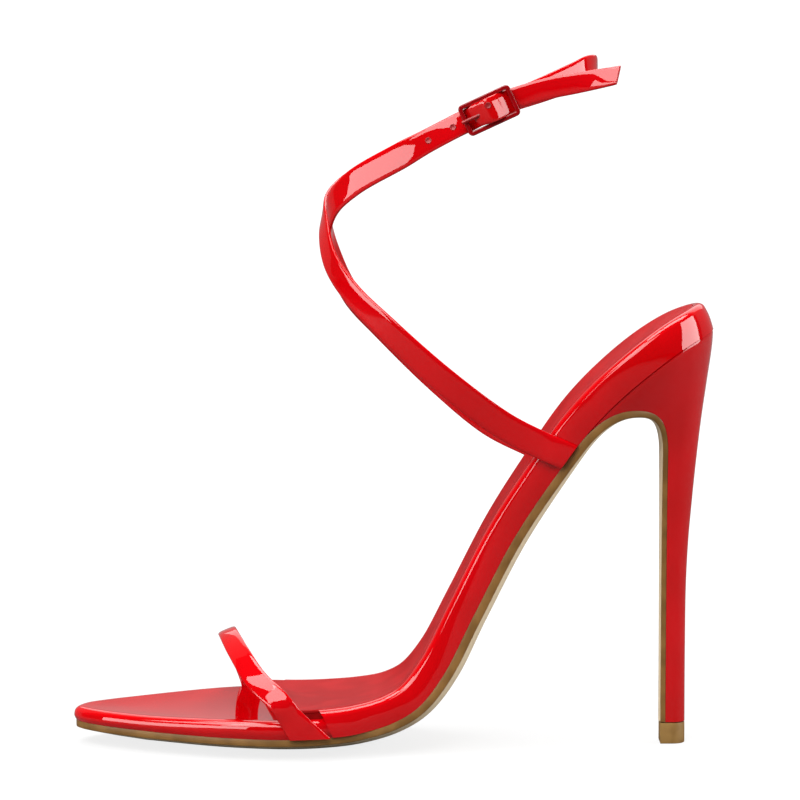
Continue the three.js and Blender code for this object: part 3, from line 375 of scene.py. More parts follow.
# Slow waves of a lacquered surface: two noises of different size, summed to a height
waves, waves_in, waves_out = group_with(
    "lacquer_waves",
    [("Wave Size", "NodeSocketFloat", 90.0), ("Grain Size", "NodeSocketFloat", 900.0),
     ("Grain Share", "NodeSocketFloat", 0.1)],
    [("Height", "NodeSocketFloat"), ("Mottle", "NodeSocketFloat")])
_place = add(waves, "ShaderNodeTexCoord")
_slow = add(waves, "ShaderNodeTexNoise", in_Detail=1.5, in_Roughness=0.4)
_fine = add(waves, "ShaderNodeTexNoise", in_Detail=2.0, in_Roughness=0.5)
_scaled = add(waves, "ShaderNodeMath", operation="MULTIPLY")
_sum = add(waves, "ShaderNodeMath", operation="ADD")
for noise, size in ((_slow, "Wave Size"), (_fine, "Grain Size")):
    waves.links.new(_place.outputs["Object"], noise.inputs["Vector"])
    waves.links.new(waves_in.outputs[size], noise.inputs["Scale"])
waves.links.new(_fine.outputs["Fac"], _scaled.inputs[0])
waves.links.new(waves_in.outputs["Grain Share"], _scaled.inputs[1])
waves.links.new(_slow.outputs["Fac"], _sum.inputs[0])
waves.links.new(_scaled.outputs[0], _sum.inputs[1])
waves.links.new(_sum.outputs[0], waves_out.inputs["Height"])
waves.links.new(_slow.outputs["Fac"], waves_out.inputs["Mottle"])


# Where along the slow waves the dark tone ends and the light one starts
TONE_SPREAD = 0.35, 0.65


def finish(name, dark, light, roughness, wave=90.0, grain=900.0, grain_share=0.1, bump=0.02,
           distance=0.0002, **shader):
    """A material whose colour drifts between two tones over slow waves, with a fine bump."""
    material = bpy.data.materials.new(name)
    material.use_nodes = True
    tree = material.node_tree
    surface = tree.nodes["Principled BSDF"]
    surface.inputs["Roughness"].default_value = roughness
    for key, value in shader.items():
        surface.inputs[key.replace("_", " ")].default_value = value
    drift = add(tree, "ShaderNodeGroup", node_tree=waves)
    drift.inputs["Wave Size"].default_value = wave
    drift.inputs["Grain Size"].default_value = grain
    drift.inputs["Grain Share"].default_value = grain_share
    tone = add(tree, "ShaderNodeValToRGB")
    tone.color_ramp.elements[0].position, tone.color_ramp.elements[1].position = TONE_SPREAD
    tone.color_ramp.elements[0].color = (*dark, 1)
    tone.color_ramp.elements[1].color = (*light, 1)
    relief = add(tree, "ShaderNodeBump", in_Strength=bump, in_Distance=distance)
    tree.links.new(drift.outputs["Mottle"], tone.inputs["Fac"])
    tree.links.new(tone.outputs["Color"], surface.inputs["Base Color"])
    tree.links.new(drift.outputs["Height"], relief.inputs["Height"])
    tree.links.new(relief.outputs["Normal"], surface.inputs["Normal"])
    return material, tree, surface, tone


patent, *_ = finish("patent_red", (0.43, 0.0, 0.001), (0.48, 0.0, 0.002), 0.35, wave=60, bump=0.05,
                    distance=0.0004, Coat_Weight=1.0, Coat_Roughness=0.02, Specular_IOR_Level=0.0)
lining, *_ = finish("lining_red", (0.27, 0.004, 0.005), (0.32, 0.006, 0.007), 0.5, wave=120, grain=2600,
                    grain_share=0.6, bump=0.12, Specular_IOR_Level=0.06)
edge_paint, edge_tree, edge_surface, edge_tone = finish(
    "outsole_leather", (0.14, 0.066, 0.014), (0.2, 0.098, 0.024), 0.45, wave=180, grain=1800,
    grain_share=0.4, bump=0.08, Specular_IOR_Level=0.3)
rubber, *_ = finish("top_piece_tan", (0.2, 0.105, 0.026), (0.26, 0.145, 0.04), 0.55, wave=300, grain=2600,
                    grain_share=0.8, bump=0.15, Specular_IOR_Level=0.3)
enamel, *_ = finish("buckle_enamel", (0.19, 0.0, 0.001), (0.24, 0.0, 0.002), 0.25, wave=400, grain=3000,
                    bump=0.03, Coat_Weight=0.6, Coat_Roughness=0.04, Specular_IOR_Level=0.1)
# Dark red for the prong pin, and painted shade for the punched holes: their lip and shallow floor are
# coloured dark to stand for the shade inside a hole
prong_red_and_hole_shade, *_ = finish("hole_shade_and_prong", (0.2, 0.0, 0.001), (0.28, 0.0, 0.001), 0.4, wave=900, grain=3000)

# The outsole's tread is pale leather inside its painted edge, by a mask stored on the mesh
_mask = add(edge_tree, "ShaderNodeAttribute", attribute_name="tread")
_pale = add(edge_tree, "ShaderNodeMix", data_type="RGBA")
_pale.inputs[7].default_value = (0.75, 0.6, 0.4, 1)
edge_tree.links.new(_mask.outputs["Fac"], _pale.inputs[0])
edge_tree.links.new(edge_tone.outputs["Color"], _pale.inputs[6])
edge_tree.links.new(_pale.outputs[2], edge_surface.inputs["Base Color"])

# ---------------------------------------------------------------- sole

whole = edge_loop(stations(count=220))
DOME_SHARES = [0, 0.25, 0.45, 0.65, 0.8, 0.92, 1]


def wrapped_platform():
    """The wrapped sole: crowned underside, swelling side, rounded edge and dished top. Behind
    the rim's front it draws in a little, because the rim covers its side there."""
    s, y, inward, spine, middle = whole
    rim_front = {side: sole_at(RIM_START[side] + RIM_LEAN) for side in SIDES}
    front = np.where(y < middle, rim_front["outer"], rim_front["inner"])
    draw = DRAW_IN * smooth(s, front + 0.5, front + 3.5)
    loop = (s + inward[:, 0] * draw, y + inward[:, 1] * draw, inward, spine, middle)
    inset = ROUND + SHOULDER
    layers = ([(0, share, underside) for share in DOME_SHARES[:-1]] + side_layers(platform_edge)
              + [(inset, share, platform_top) for share in (1, 0.97, 0.85, 0.6, 0.3, 0)])
    make_piece("wrapped_platform", layered(loop, on_sole, layers), patent, ["midsole"])


def edge_path(start, count=420):
    """The outline from a place on the outer side, round the back, to a place on the inner side."""
    outer = stations(row_at(sole_at(start["outer"])), LAST_ROW, count // 2)
    inner = stations(row_at(sole_at(start["inner"])), LAST_ROW, count // 2)
    s = np.concatenate([outer[:, 0], inner[-2::-1, 0]])
    y = np.concatenate([outer[:, 1], inner[-2::-1, 2]])
    inward = unit(np.column_stack([-np.gradient(y), np.gradient(s)]))
    return s, y, inward


def rim_wall():
    """The raised rim: its section runs up the swelling side, over the rounded edge, across the
    flat top and down to the bed, and is carried along the outline. Its front ends lean back."""
    s0, y0, inward = edge_path(RIM_START)
    behind = np.where(np.arange(len(s0)) < len(s0) // 2, s0 - s0[0], s0 - s0[-1])
    lean = smooth(1 - behind / RIM_LEAN_OVER, 0, 1) * RIM_LEAN
    top = FEATHER + RIM_EDGE
    # The side, then the eased inner edge, the wall down past the bed, and the hidden foot
    profile = side_layers(rim_edge) + [
        (RIM_WIDTH - RIM_EASE, 1, rim_edge),
        (RIM_WIDTH - 0.07, 1, lambda s, c, y: rim_edge(s, c, y) - 0.07),
        (RIM_WIDTH, 1, lambda s, c, y: rim_edge(s, c, y) - RIM_EASE),
        (RIM_WIDTH + 0.05, 1, lambda s, c, y: rim_edge(s, c, y) - RIM_RECESS - 0.6),
        (RIM_WIDTH - 0.4, 1, lambda s, c, y: PLATFORM_EDGE * 0.5 + 0 * s),
        (0.6, 1, lambda s, c, y: 0.2 + 0 * s),
    ]
    rings = []
    for inset, share, height in profile:
        s, y = s0 + inward[:, 0] * inset, y0 + inward[:, 1] * inset
        h = height(s, share, y)
        s = s + lean * np.clip(1 - (FEATHER + h) / top, 0, 1)
        rings.append(on_sole(s, y, h))
    grid = np.array(rings).transpose(1, 0, 2)
    make_piece("rim_wall", with_ends(grid), patent)


def insole_cover():
    """The covered insole: a thin sheet over the bed with a rolled edge, from a slanted front
    edge under the toe strap to the seat, standing on its board."""
    s0, y0, inward = edge_path(INSOLE_START, 360)
    front = np.linspace(0, 1, 42)[1:-1]
    s_front = s0[-1] + (s0[0] - s0[-1]) * front
    y_front = y0[-1] + (y0[0] - y0[-1]) * front
    slope = unit(np.array([[y0[0] - y0[-1], s0[-1] - s0[0]]])) * np.sign(y0[0] - y0[-1])
    s, y = np.concatenate([s0, s_front]), np.concatenate([y0, y_front])
    inward = np.concatenate([inward, np.repeat(slope, len(front), 0)])
    inset = RIM_WIDTH + INSOLE_CLEAR
    reach = np.concatenate([np.ones(len(s0)), np.zeros(len(front))])
    s, y = s + inward[:, 0] * inset * reach, y + inward[:, 1] * inset * reach
    half = (len(s0) + 1) // 2
    pair = np.clip((s0[:half] + s0[::-1][:half]) / 2, s0[0] + INSOLE_SPINE, LENGTH - TIP)
    spine = np.concatenate([pair, pair[-2::-1], np.full(len(front), pair[0])])
    middle = np.interp(spine, _stations[:, 0], _stations[:, 1:].mean(axis=1))
    loop = (s, y, inward, spine, middle)
    top = lambda s, c, y: bed(s, c, y) + GAP + INSOLE_THICKNESS
    low = lambda s, c, y: PLATFORM_EDGE - BOARD_DEPTH + 0 * s
    layers = [(0.5, 0, low), (0.5, 1, low), (0.2, 1, lambda s, c, y: bed(s, c, y) + GAP - 0.1),
              (0, 1, lambda s, c, y: bed(s, c, y) + GAP + 0.1),
              (0, 1, lambda s, c, y: top(s, c, y) - INSOLE_ROLL)]
    layers += [(INSOLE_ROLL * (1 - math.cos(q)), 1,
                lambda s, c, y, q=q: top(s, c, y) - INSOLE_ROLL * (1 - math.sin(q)))
               for q in np.linspace(0.3, math.pi / 2, 5)]
    layers += [(INSOLE_ROLL, share, top) for share in (0.97, 0.9, 0.75, 0.55, 0.35, 0.15, 0)]
    make_piece("insole_cover", layered(loop, on_sole, layers), lining, ["insole"])


# ---------------------------------------------------------------- heel

FOOT_BACK = SEAT_BACK - HEEL_SET_IN
BREAST = FOOT_BACK - FOOT_LENGTH
FOOT_TOP = TOP_PIECE_HEIGHT + GAP
LEAVE = float(sole_at(BREAST - THROAT_REACH))


def bezier(a, b, c, d):
    """A cubic arc from a to d that leaves towards b and arrives from c."""
    t = np.linspace(0, 1, 200)[:, None]
    return a * (1 - t)**3 + 3 * b * t * (1 - t)**2 + 3 * c * t**2 * (1 - t) + d * t**3


def throat_line():
    """The heel's lower front in the side view: two cubic arcs over the crest, then the breast."""
    start = on_sole(LEAVE, 0, 0)[[0, 2]]
    along = np.array([np.interp(LEAVE, _run, _along[:, 0]), np.interp(LEAVE, _run, _along[:, 1])])
    radius = THROAT_REACH * 0.4
    crest_x = BREAST - radius
    crest_z = float(on_sole(sole_at(crest_x), 0, 0)[2]) - THROAT_DROP
    at = lambda x, z: np.array([x, z])
    first = bezier(start, start + along * THROAT_REACH * 0.24,
                   at(crest_x - radius * 0.62, crest_z), at(crest_x, crest_z))
    second = bezier(at(crest_x, crest_z), at(crest_x + radius * 0.7, crest_z),
                    at(BREAST, crest_z - radius * 0.3), at(BREAST, crest_z - radius * 1.3))
    down = np.linspace(at(BREAST, crest_z - radius * 1.3), at(BREAST, FOOT_TOP), 200)
    bend = np.vstack([first, second[1:]])
    return np.vstack([bend, down[1:]]), float(np.linalg.norm(np.diff(bend, axis=0), axis=1).sum())


_throat, THROAT_TOP = throat_line()
_throat_run = run_along(_throat)
THROAT_LENGTH = _throat_run[-1]
_throat_along = unit(np.gradient(_throat, axis=0))


def on_track(s, y, h):
    """As on_sole up to the throat; from there the track follows the throat and the breast."""
    s, y, h = together(s, y, h)
    u = np.clip(s - LEAVE, 0, THROAT_LENGTH)
    x, z = (np.interp(u, _throat_run, _throat[:, i]) for i in (0, 1))
    tx, tz = (np.interp(u, _throat_run, _throat_along[:, i]) for i in (0, 1))
    over = np.stack([x - tz * h, y, z + tx * h], -1)
    return np.where((s <= LEAVE)[..., None], on_sole(s, y, h), over)


def heel_breadth(x, z, side):
    """Place across the foot of the heel's side at a place in the side view."""
    s = sole_at(x)
    seat = np.interp(s, _run, _line[:, 1])
    drop = np.clip((seat - z) / (seat - FOOT_TOP), 0, 1)
    wide = breadth(s, side)
    return np.sign(wide) * (FOOT_WIDTH / 2 + (np.abs(wide) - FOOT_WIDTH / 2) * breadth_share(drop))


def outsole_sheet():
    """The outsole: a thin crowned sheet with an upright painted edge, which follows the track
    from the toe over the throat to the foot of the heel."""
    shank = stations(0, row_at(LEAVE - 1.0), 190)
    s = LEAVE + np.concatenate([np.linspace(0, THROAT_TOP, 70),
                                np.linspace(THROAT_TOP, THROAT_LENGTH, 60)[1:]])
    point = on_track(s, 0 * s, 0 * s)
    flap = np.column_stack([s] + [heel_breadth(point[:, 0], point[:, 2], side) for side in SIDES])
    loop = edge_loop(np.vstack([shank, flap]))
    along = lambda s: smooth(s, LEAVE, LEAVE + THROAT_TOP)
    mixed = lambda a, b, w: a + (b - a) * w
    edge = lambda s: mixed(mixed(TREAD_EDGE, SHANK_EDGE, smooth(s / LENGTH, 0.35, 0.5)), FLAP_EDGE, along(s))
    crown = lambda s: mixed(CROWN * crown_share(np.minimum(s, LEAVE) / LENGTH), FLAP_CROWN, along(s))
    top = lambda s, c, y: -0.06 - mixed(INNER_CROWN * crown(s), 0, along(s)) * dome(c)
    tread = lambda s, c, y: -GAP - edge(s) - crown(s) * dome(c)
    layers = [(0.05, share, top) for share in DOME_SHARES]
    layers += [(-0.05, 1, lambda s, c, y: -GAP), (0, 1, lambda s, c, y: -GAP - edge(s) + TREAD_ROUND),
               (0.1, 1, lambda s, c, y: -GAP - edge(s) + 0.1), (TREAD_ROUND, 1, tread)]
    layers += [(TREAD_ROUND, share, tread) for share in (0.97, 0.93, 0.85, 0.72, 0.6, 0.45, 0.3, 0.15, 0)]
    rings = layered(loop, on_track, layers)
    rings[..., 2] = np.maximum(rings[..., 2], 0)
    pale = np.array([0.0] * (len(DOME_SHARES) + 3) + [0.25, 0.9] + [1.0] * 8)
    make_piece("outsole_leather", rings, edge_paint, ["outsole"],
               values={"tread": pale[:, None]})


def heel_block():
    """The wrapped heel, from sheets that share their edges. Ahead of the breast each side is
    y = breadth(x, z) over straight lines from the seat to the throat; behind it the outline of
    the seat shrinks to that of the foot while z falls from one to the other."""
    ahead = np.linspace(0, 1, 60)
    # Rows down the side, close together under the seat, where the edge is eased
    v = np.concatenate([np.linspace(0, 0.035, 15), np.linspace(0.05, 1, 38)])[:, None]
    top_x = (BREAST - THROAT_REACH) + ahead * THROAT_REACH
    top_z = on_sole(sole_at(top_x), 0, 0)[:, 2]
    low_x, low_z = (np.interp(ahead * THROAT_TOP, _throat_run, _throat[:, i]) for i in (0, 1))
    x_front, z_front = top_x + (low_x - top_x) * v, top_z + (low_z - top_z) * v
    st = stations(row_at(sole_at(BREAST)), LAST_ROW, 70)
    seat = on_sole(st[:, 0], 0, 0)
    past = np.clip((seat[:, 0] - BREAST) / (SEAT_BACK - BREAST), 0, 1)
    foot_x = BREAST + past * FOOT_LENGTH
    turn = np.clip((foot_x - (FOOT_BACK - FOOT_WIDTH / 2)) / (FOOT_WIDTH / 2), 0, 1)
    foot_y = FOOT_WIDTH / 2 * np.sqrt(1 - turn**2)
    bend = (top_z[-1] - low_z[-1]) / (top_z[-1] - FOOT_TOP)
    drop = np.concatenate([v * bend, bend + (1 - bend) * np.linspace(0, 1, 60)[1:, None]])
    x_back = foot_x + (seat[:, 0] - foot_x) * depth_share(drop)
    z_back = seat[:, 2] + (FOOT_TOP - seat[:, 2]) * drop
    eased = lambda depth: HEEL_EASE * (1 - np.sqrt(1 - np.clip(1 - depth / HEEL_ROUND, 0, 1)**2))
    fronts, backs = [], []
    for side, sign in (("outer", -1), ("inner", 1)):
        y_front = heel_breadth(x_front, z_front, side) - sign * eased(top_z - z_front)
        fronts.append(np.stack([x_front, y_front, z_front], -1))
        y_back = sign * foot_y + (st[:, SIDES[side]] - sign * foot_y) * breadth_share(drop)
        backs.append(np.stack([x_back, y_back, z_back], -1))
        inward = unit(np.column_stack([-past**2, -sign * np.sqrt(1 - past**4)]))
        backs[-1][..., :2] += inward * eased(seat[:, 2] - z_back)[..., None]
        backs[-1][:, -1, 1] = 0
        fronts[-1][:, -1] = backs[-1][:len(v), 0]
    # Sheets of straight lines across close the breast, the top, the throat and the foot
    face = [np.stack([back[len(v) - 1:, 0] for back in backs])]
    caps = [np.stack([f[k], g[k]]) for f, g in (fronts, backs) for k in (0, -1)]
    make_piece("heel_block", fronts + backs + face + caps, patent, ["heel"],
               wrap=False, sharp=50)


def top_piece():
    """The heel's foot: a rounded outline, straight in front, with eased edges."""
    half = FOOT_WIDTH / 2
    front = BREAST - GAP - FLAP_EDGE
    q = np.linspace(-math.pi / 2, math.pi / 2, 40)
    side = np.linspace(front, FOOT_BACK - half, 12)[:-1]
    breast = np.linspace(half, -half, 12)[1:-1]
    x = np.concatenate([side, FOOT_BACK - half + half * np.cos(q), side[::-1], front + 0 * breast])
    y = np.concatenate([-half + 0 * side, half * np.sin(q), half + 0 * side, breast])
    centre = np.array([(front + FOOT_BACK) / 2, 0])
    outward = unit(np.column_stack([x - centre[0], y]))
    rings = []
    for inset, z, share in ((0.3, 0, 0), (0.3, 0, 1), (0.08, 0.1, 1), (0, 0.4, 1),
                            (0, TOP_PIECE_HEIGHT - 0.3, 1), (0.1, TOP_PIECE_HEIGHT, 1),
                            (0.1, TOP_PIECE_HEIGHT, 0)):
        px = centre[0] + (x - outward[:, 0] * inset - centre[0]) * share
        py = (y - outward[:, 1] * inset) * share
        rings.append(np.column_stack([px, py, np.full_like(px, z)]))
    make_piece("top_piece_rubber", np.array(rings), rubber, ["top_piece"])


# ---------------------------------------------------------------- straps


def facing(turn, tilt):
    """The direction of a strap's face: outwards, turned about the upright, then tilted up."""
    a, b = math.radians(turn), math.radians(tilt)
    return np.array([-math.sin(a) * math.cos(b), -math.cos(a) * math.cos(b), math.sin(b)])


STRAP_S = STRAP_STATION * LENGTH
RIM_HEIGHT = RIM_EDGE * float(rim_share(STRAP_STATION))
HALF_STRAP = STRAP_THICK / 2
STRAP_OUT = BULGE + GAP + HALF_STRAP
KNEE = on_sole(STRAP_S, 0, RIM_HEIGHT)


def ankle_point(x, y, z):
    """A place at these shares of the reach, the spread and the rise from the knee on the rim."""
    return np.array([KNEE[0] + x * REACH, y * SPREAD, KNEE[2] + z * RISE])


def buckle_frame():
    """The buckle's centre, and its directions along the strap, across it and out."""
    a, b = math.radians(-SLOPE), math.radians(-YAW)
    turn = np.array([[math.cos(b), -math.sin(b), 0], [math.sin(b), math.cos(b), 0], [0, 0, 1]]) @ np.array(
        [[math.cos(a), 0, math.sin(a)], [0, 1, 0], [-math.sin(a), 0, math.cos(a)]])
    return ankle_point(-0.165, -1.0, 0.895), turn @ np.array([[1, 0, 0], [0, 0, -1], [0, 1, 0]])


BUCKLE_AT, BUCKLE_TURN = buckle_frame()


def at_buckle(u, w, n):
    """Points given along the strap, across it and out from the ankle, in the part's frame."""
    u, w, n = together(u, w, n)
    return BUCKLE_AT + np.stack([u, w, n], -1) @ BUCKLE_TURN.T


HALF_BUCKLE = BUCKLE_LENGTH / 2
BAR_INSIDE = HALF_BUCKLE - BAR
UNDER_BAR = -(BUCKLE_THICK / 2 + GAP + HALF_STRAP)
SLEEVE_RADIUS = BAR_RADIUS + GAP + SLEEVE
OVER_BAR = SLEEVE_RADIUS + GAP + HALF_STRAP
SECOND_LAYER = UNDER_BAR - STRAP_THICK - GAP

# Ankle straps: shares of reach, spread and rise, turn and tilt of the face, width share
OUTER_STRAP = [
    (-0.12, -0.92, 0.055, 0, 1, 0.99), (-0.3, -1.02, 0.178, 9, 0, 0.95),
    (-0.476, -0.9, 0.32, 20, -3, 0.87), (-0.575, -0.66, 0.405, 37, -2, 0.85),
    (-0.64, -0.36, 0.49, 54, 2, 0.85), (-0.66, -0.06, 0.582, 66, 4, 0.82),
    (-0.648, 0.22, 0.645, 98, 0, 0.82), (-0.55, 0.56, 0.721, 138, 22, 0.72),
    (-0.35, 0.88, 0.809, 166, 34, 0.69), (-0.16, 0.98, 0.886, 180, 28, 0.7),
    (0.02, 0.8, 0.942, 196, 16, 0.72), (0.125, 0.44, 0.98, 222, 6, 0.76),
    (0.162, 0.06, 1.009, 268, 0, 0.76), (0.14, -0.3, 1.013, 322, 8, 0.74),
    (0.09, -0.56, 0.996, 344, 8, 0.66),
]
INNER_STRAP = [
    (-0.15, 0.92, 0.024, 180, 0, 0.99), (-0.315, 1.02, 0.143, 176, 0, 0.95),
    (-0.482, 0.88, 0.287, 168, 0, 0.85), (-0.575, 0.62, 0.378, 154, 0, 0.79),
    (-0.625, 0.3, 0.475, 134, 0, 0.78), (-0.643, 0.02, 0.565, 96, 0, 0.84),
    (-0.633, -0.26, 0.638, 56, 6, 0.92), (-0.572, -0.5, 0.698, 32, 9, 0.98),
    (-0.43, -0.8, 0.773, 15, 11, 0.97),
]
STRAP_FOOT = [(2.2, -0.4, HALF_STRAP - TUCK), (0.8, 0.45, STRAP_OUT), (-0.3, 1.06, STRAP_OUT + GAP)]
# The free end of the tongue: along the buckle, across it and out from it, width share, lift
TONGUE_END = [(19.3, -1.6, -1.1, 1, 0), (26.5, -3.4, 0, 0.97, 1), (39.1, -6.5, 3, 0.88, 24)]


def ankle_rows(table):
    """The rows of a table as place, direction of the face and width."""
    return [(ankle_point(x, y, z), facing(turn, tilt), width * STRAP_WIDTH)
            for x, y, z, turn, tilt, width in table]


def foot_rows(side):
    """Rows that lead a strap from inside the sole's edge up and outwards over the rim."""
    ahead = 0 if side == "outer" else INNER_AHEAD
    sign = -1 if side == "outer" else 1
    rows = []
    for back, rise, out in STRAP_FOOT:
        s = STRAP_S + back - ahead
        rows.append((on_sole(s, breadth(s, side) + sign * out, rise * RIM_HEIGHT),
                     np.array([0.0, sign, 0.0]), STRAP_WIDTH))
    return rows


def buckle_row(u, n, width=TONGUE_WIDTH, w=0.0, lift=0.0):
    """A row of the tongue in the buckle's frame; its face leans up by lift degrees."""
    a = math.radians(lift)
    return (at_buckle(u, w, n), BUCKLE_TURN @ np.array([0, math.sin(a), math.cos(a)]), width)


def strap_surface(rows, count, slant=0.0, crown=STRAP_CROWN):
    """A lasted strap: a thin section with rounded edges and a slight crown on its face, carried
    along a smooth path. Its face looks along the given directions, and slant shifts its last six
    rings along the path in proportion to the place across, which cuts the far end askew."""
    centre = curve_through([r[0] for r in rows])
    face = curve_through([r[1] for r in rows])
    wide = curve_through([(i, r[2], 0) for i, r in enumerate(rows)])
    t = np.linspace(0, 1, count)
    at = centre(t)
    along = unit(np.gradient(at, axis=0))
    across = unit(np.cross(along, face(t)))
    out = np.cross(across, along)
    reach = wide(t)[:, 1] / 2
    q = np.linspace(0, 2 * np.pi, 64, endpoint=False)
    across_share, out_share = squared_off(np.cos(q), 0.28), squared_off(np.sin(q), 0.55)
    w = reach[:, None] * across_share
    n = (HALF_STRAP * out_share * (1 - 0.18 * np.abs(across_share)**6)
         + crown * (1 - across_share**2) * (out_share > 0))
    grid = at[:, None] + across[:, None] * w[..., None] + out[:, None] * n[..., None]
    ends = smooth(t, 1 - 6 / count, 1)[:, None] * slant * w
    return grid + along[:, None] * ends[..., None]


def trimmed(grid, s):
    """Starts every line of a strap where it crosses the feather plane at s: row i of a line
    that crosses at row c is read at c + (last - c)·i/last."""
    foot, above = on_sole(s, 0, TRIM_HEIGHT), unit(on_sole(s, 0, 1) - on_sole(s, 0, 0))
    height = (grid - foot) @ above
    last = len(grid) - 1
    c = np.argmax(height > 0, axis=0)
    low, high = height[np.maximum(c - 1, 0), np.arange(len(c))], height[c, np.arange(len(c))]
    cross = np.where(c > 0, c - high / np.where(c > 0, high - low, 1), 0)
    rows = cross + (last - cross) * np.arange(last + 1)[:, None] / last
    i = np.clip(rows.astype(int), 0, last - 1)
    w, col = (rows - i)[..., None], np.arange(grid.shape[1])
    return grid[i, col] * (1 - w) + grid[i + 1, col] * w


def ankle_straps():
    """The outer strap round the ankle to the buckle's centre bar, and the inner strap with the
    tongue, which dips under the frame's bars and rides over the centre bar."""
    outer = foot_rows("outer") + ankle_rows(OUTER_STRAP) + [
        buckle_row(HALF_BUCKLE + 6, SECOND_LAYER, TONGUE_WIDTH * 0.84),
        buckle_row(HALF_BUCKLE, SECOND_LAYER),
        buckle_row(BAR_INSIDE - 2, (SECOND_LAYER + UNDER_BAR + GAP) / 2),
        buckle_row(SLEEVE_RADIUS * 0.6, -(SLEEVE_RADIUS - SLEEVE / 2))]
    between = (UNDER_BAR + OVER_BAR) * 0.72
    tongue = foot_rows("inner") + ankle_rows(INNER_STRAP) + [
        buckle_row(-HALF_BUCKLE - 12, UNDER_BAR - GAP, STRAP_WIDTH * 0.85, -0.5, HOLE_LIFT),
        buckle_row(-HALF_BUCKLE - 1, UNDER_BAR, TONGUE_WIDTH * 1.1, 0, HOLE_LIFT),
        buckle_row(-BAR_INSIDE, UNDER_BAR, TONGUE_WIDTH * 1.09),
        *(buckle_row(u, n, TONGUE_WIDTH * width, w) for u, n, width, w in (
            (-BAR_INSIDE / 2, between, 1.1, 0.2), (0, OVER_BAR, 1.17, 0), (BAR_INSIDE / 2, between, 1.17, 0),
            (BAR_INSIDE, UNDER_BAR, 1.12, 0))),
        buckle_row(HALF_BUCKLE + 1, UNDER_BAR)]
    tongue += [buckle_row(u, n, TONGUE_WIDTH * width, w, lift) for u, w, n, width, lift in TONGUE_END]
    grid = trimmed(strap_surface(outer, 700, crown=FLAT_CROWN), STRAP_S)
    make_piece("outer_ankle_strap", with_ends(grid), patent, ["ankle_straps"])
    grid = trimmed(strap_surface(tongue, 800, slant=-0.32), STRAP_S - INNER_AHEAD)
    make_piece("inner_ankle_strap", with_ends(grid), patent)


# Toe strap: way from foot to foot, lean forward, side, rise, turn and tilt of the face, width share
TOE_STRAP = [
    (0.0, 0.54, -1.0, 0.42, 10, 22, 1.04), (0.08, 0.84, -0.83, 0.61, 11, 26, 1.04),
    (0.26, 1, -0.47, 0.85, 40, 52, 0.96), (0.5, 0.97, 0.02, 0.97, 90, 66, 0.88),
    (0.76, 0.72, 0.5, 0.86, 140, 58, 0.9), (0.93, 0.42, 0.85, 0.62, 164, 36, 0.97),
    (1.0, 0.22, 1.0, 0.43, 176, 12, 1),
]
# Its feet: rise, shift outwards, shift forward on the outer and on the inner side, width share
TOE_FOOT_ROWS = [(-0.5, -1, -2.4, -1.4, 1.5), (0.1, -0.6, 0.5, -0.6, 1.42), (0.62, 0, 2.9, 0.2, 1.3),
                 (1.25, 0.1, 5.5, 1.4, 1.13)]


def toe_strap():
    """The toe strap: from its outer foot up and forward over the toes to its inner foot."""
    feet = {side: float(sole_at(TOE_FOOT[side])) for side in SIDES}
    reach = {side: abs(float(breadth(feet[side], side))) + STRAP_OUT for side in SIDES}

    def foot(side):
        """Rows from below the platform's edge up its side, as wide as the strap spreads there."""
        sign = -1 if side == "outer" else 1
        rows = []
        for rise, off, outer, inner, width in TOE_FOOT_ROWS:
            point = on_sole(feet[side], 0, rise * PLATFORM_EDGE)
            forward = outer if side == "outer" else inner
            point = point + np.array([-forward, sign * (reach[side] + off * BULGE), 0])
            rows.append((point, np.array([0.0, sign, 0.0]), width * TOE_WIDTH))
        return rows

    top = []
    for way, lean, side, rise, turn, tilt, width in TOE_STRAP:
        x = TOE_FOOT["outer"] + (TOE_FOOT["inner"] - TOE_FOOT["outer"]) * way - lean * TOE_LEAN
        y = side * (reach["outer"] if side < 0 else reach["inner"])
        top.append((np.array([x, y, FEATHER + rise * TOE_RISE]), facing(turn, tilt), width * TOE_WIDTH))
    rows = foot("outer") + top + foot("inner")[::-1]
    grid = trimmed(strap_surface(rows, 500), feet["outer"])
    grid = trimmed(grid[::-1], feet["inner"])[::-1]
    make_piece("toe_strap_patent", with_ends(grid), patent, ["toe_strap"])


# ---------------------------------------------------------------- buckle


def rounded_rectangle(length, width, radius):
    """Points round a rectangle: four quarter circles of eight points, joined by its straight sides."""
    q = np.linspace(0, np.pi / 2, 8)
    x, y = length / 2 - radius, width / 2 - radius
    corners = [(x, y, 0), (-x, y, 1), (-x, -y, 2), (x, -y, 3)]
    return np.concatenate([np.column_stack([cx + radius * np.cos(q + k * np.pi / 2),
                                            cy + radius * np.sin(q + k * np.pi / 2)])
                           for cx, cy, k in corners])


def buckle_frame_piece():
    """The frame: a rounded rectangle path that carries a squarish section with eased edges."""
    middle = rounded_rectangle(BUCKLE_LENGTH - BAR, BUCKLE_WIDTH - BAR, BAR / 2 + 0.05)
    # Each step of the path gets a point at its middle
    steps = np.roll(middle, -1, 0) - middle
    fine = np.stack([middle, middle + steps * 0.5], 1).reshape(-1, 2)
    direction = unit(np.roll(fine, -1, 0) - np.roll(fine, 1, 0))
    outward = np.column_stack([direction[:, 1], -direction[:, 0]])
    q = np.linspace(0, 2 * np.pi, 32, endpoint=False)
    a = BAR / 2 * squared_off(np.cos(q), 0.45)
    n = BUCKLE_THICK / 2 * squared_off(np.sin(q), 0.45)
    flat = fine[:, None] + outward[:, None] * a[None, :, None]
    rings = at_buckle(flat[..., 0], flat[..., 1], np.broadcast_to(n, flat.shape[:2]))
    rings = np.concatenate([rings, rings[:1]])
    make_piece("buckle_frame", rings, enamel, ["buckle"])


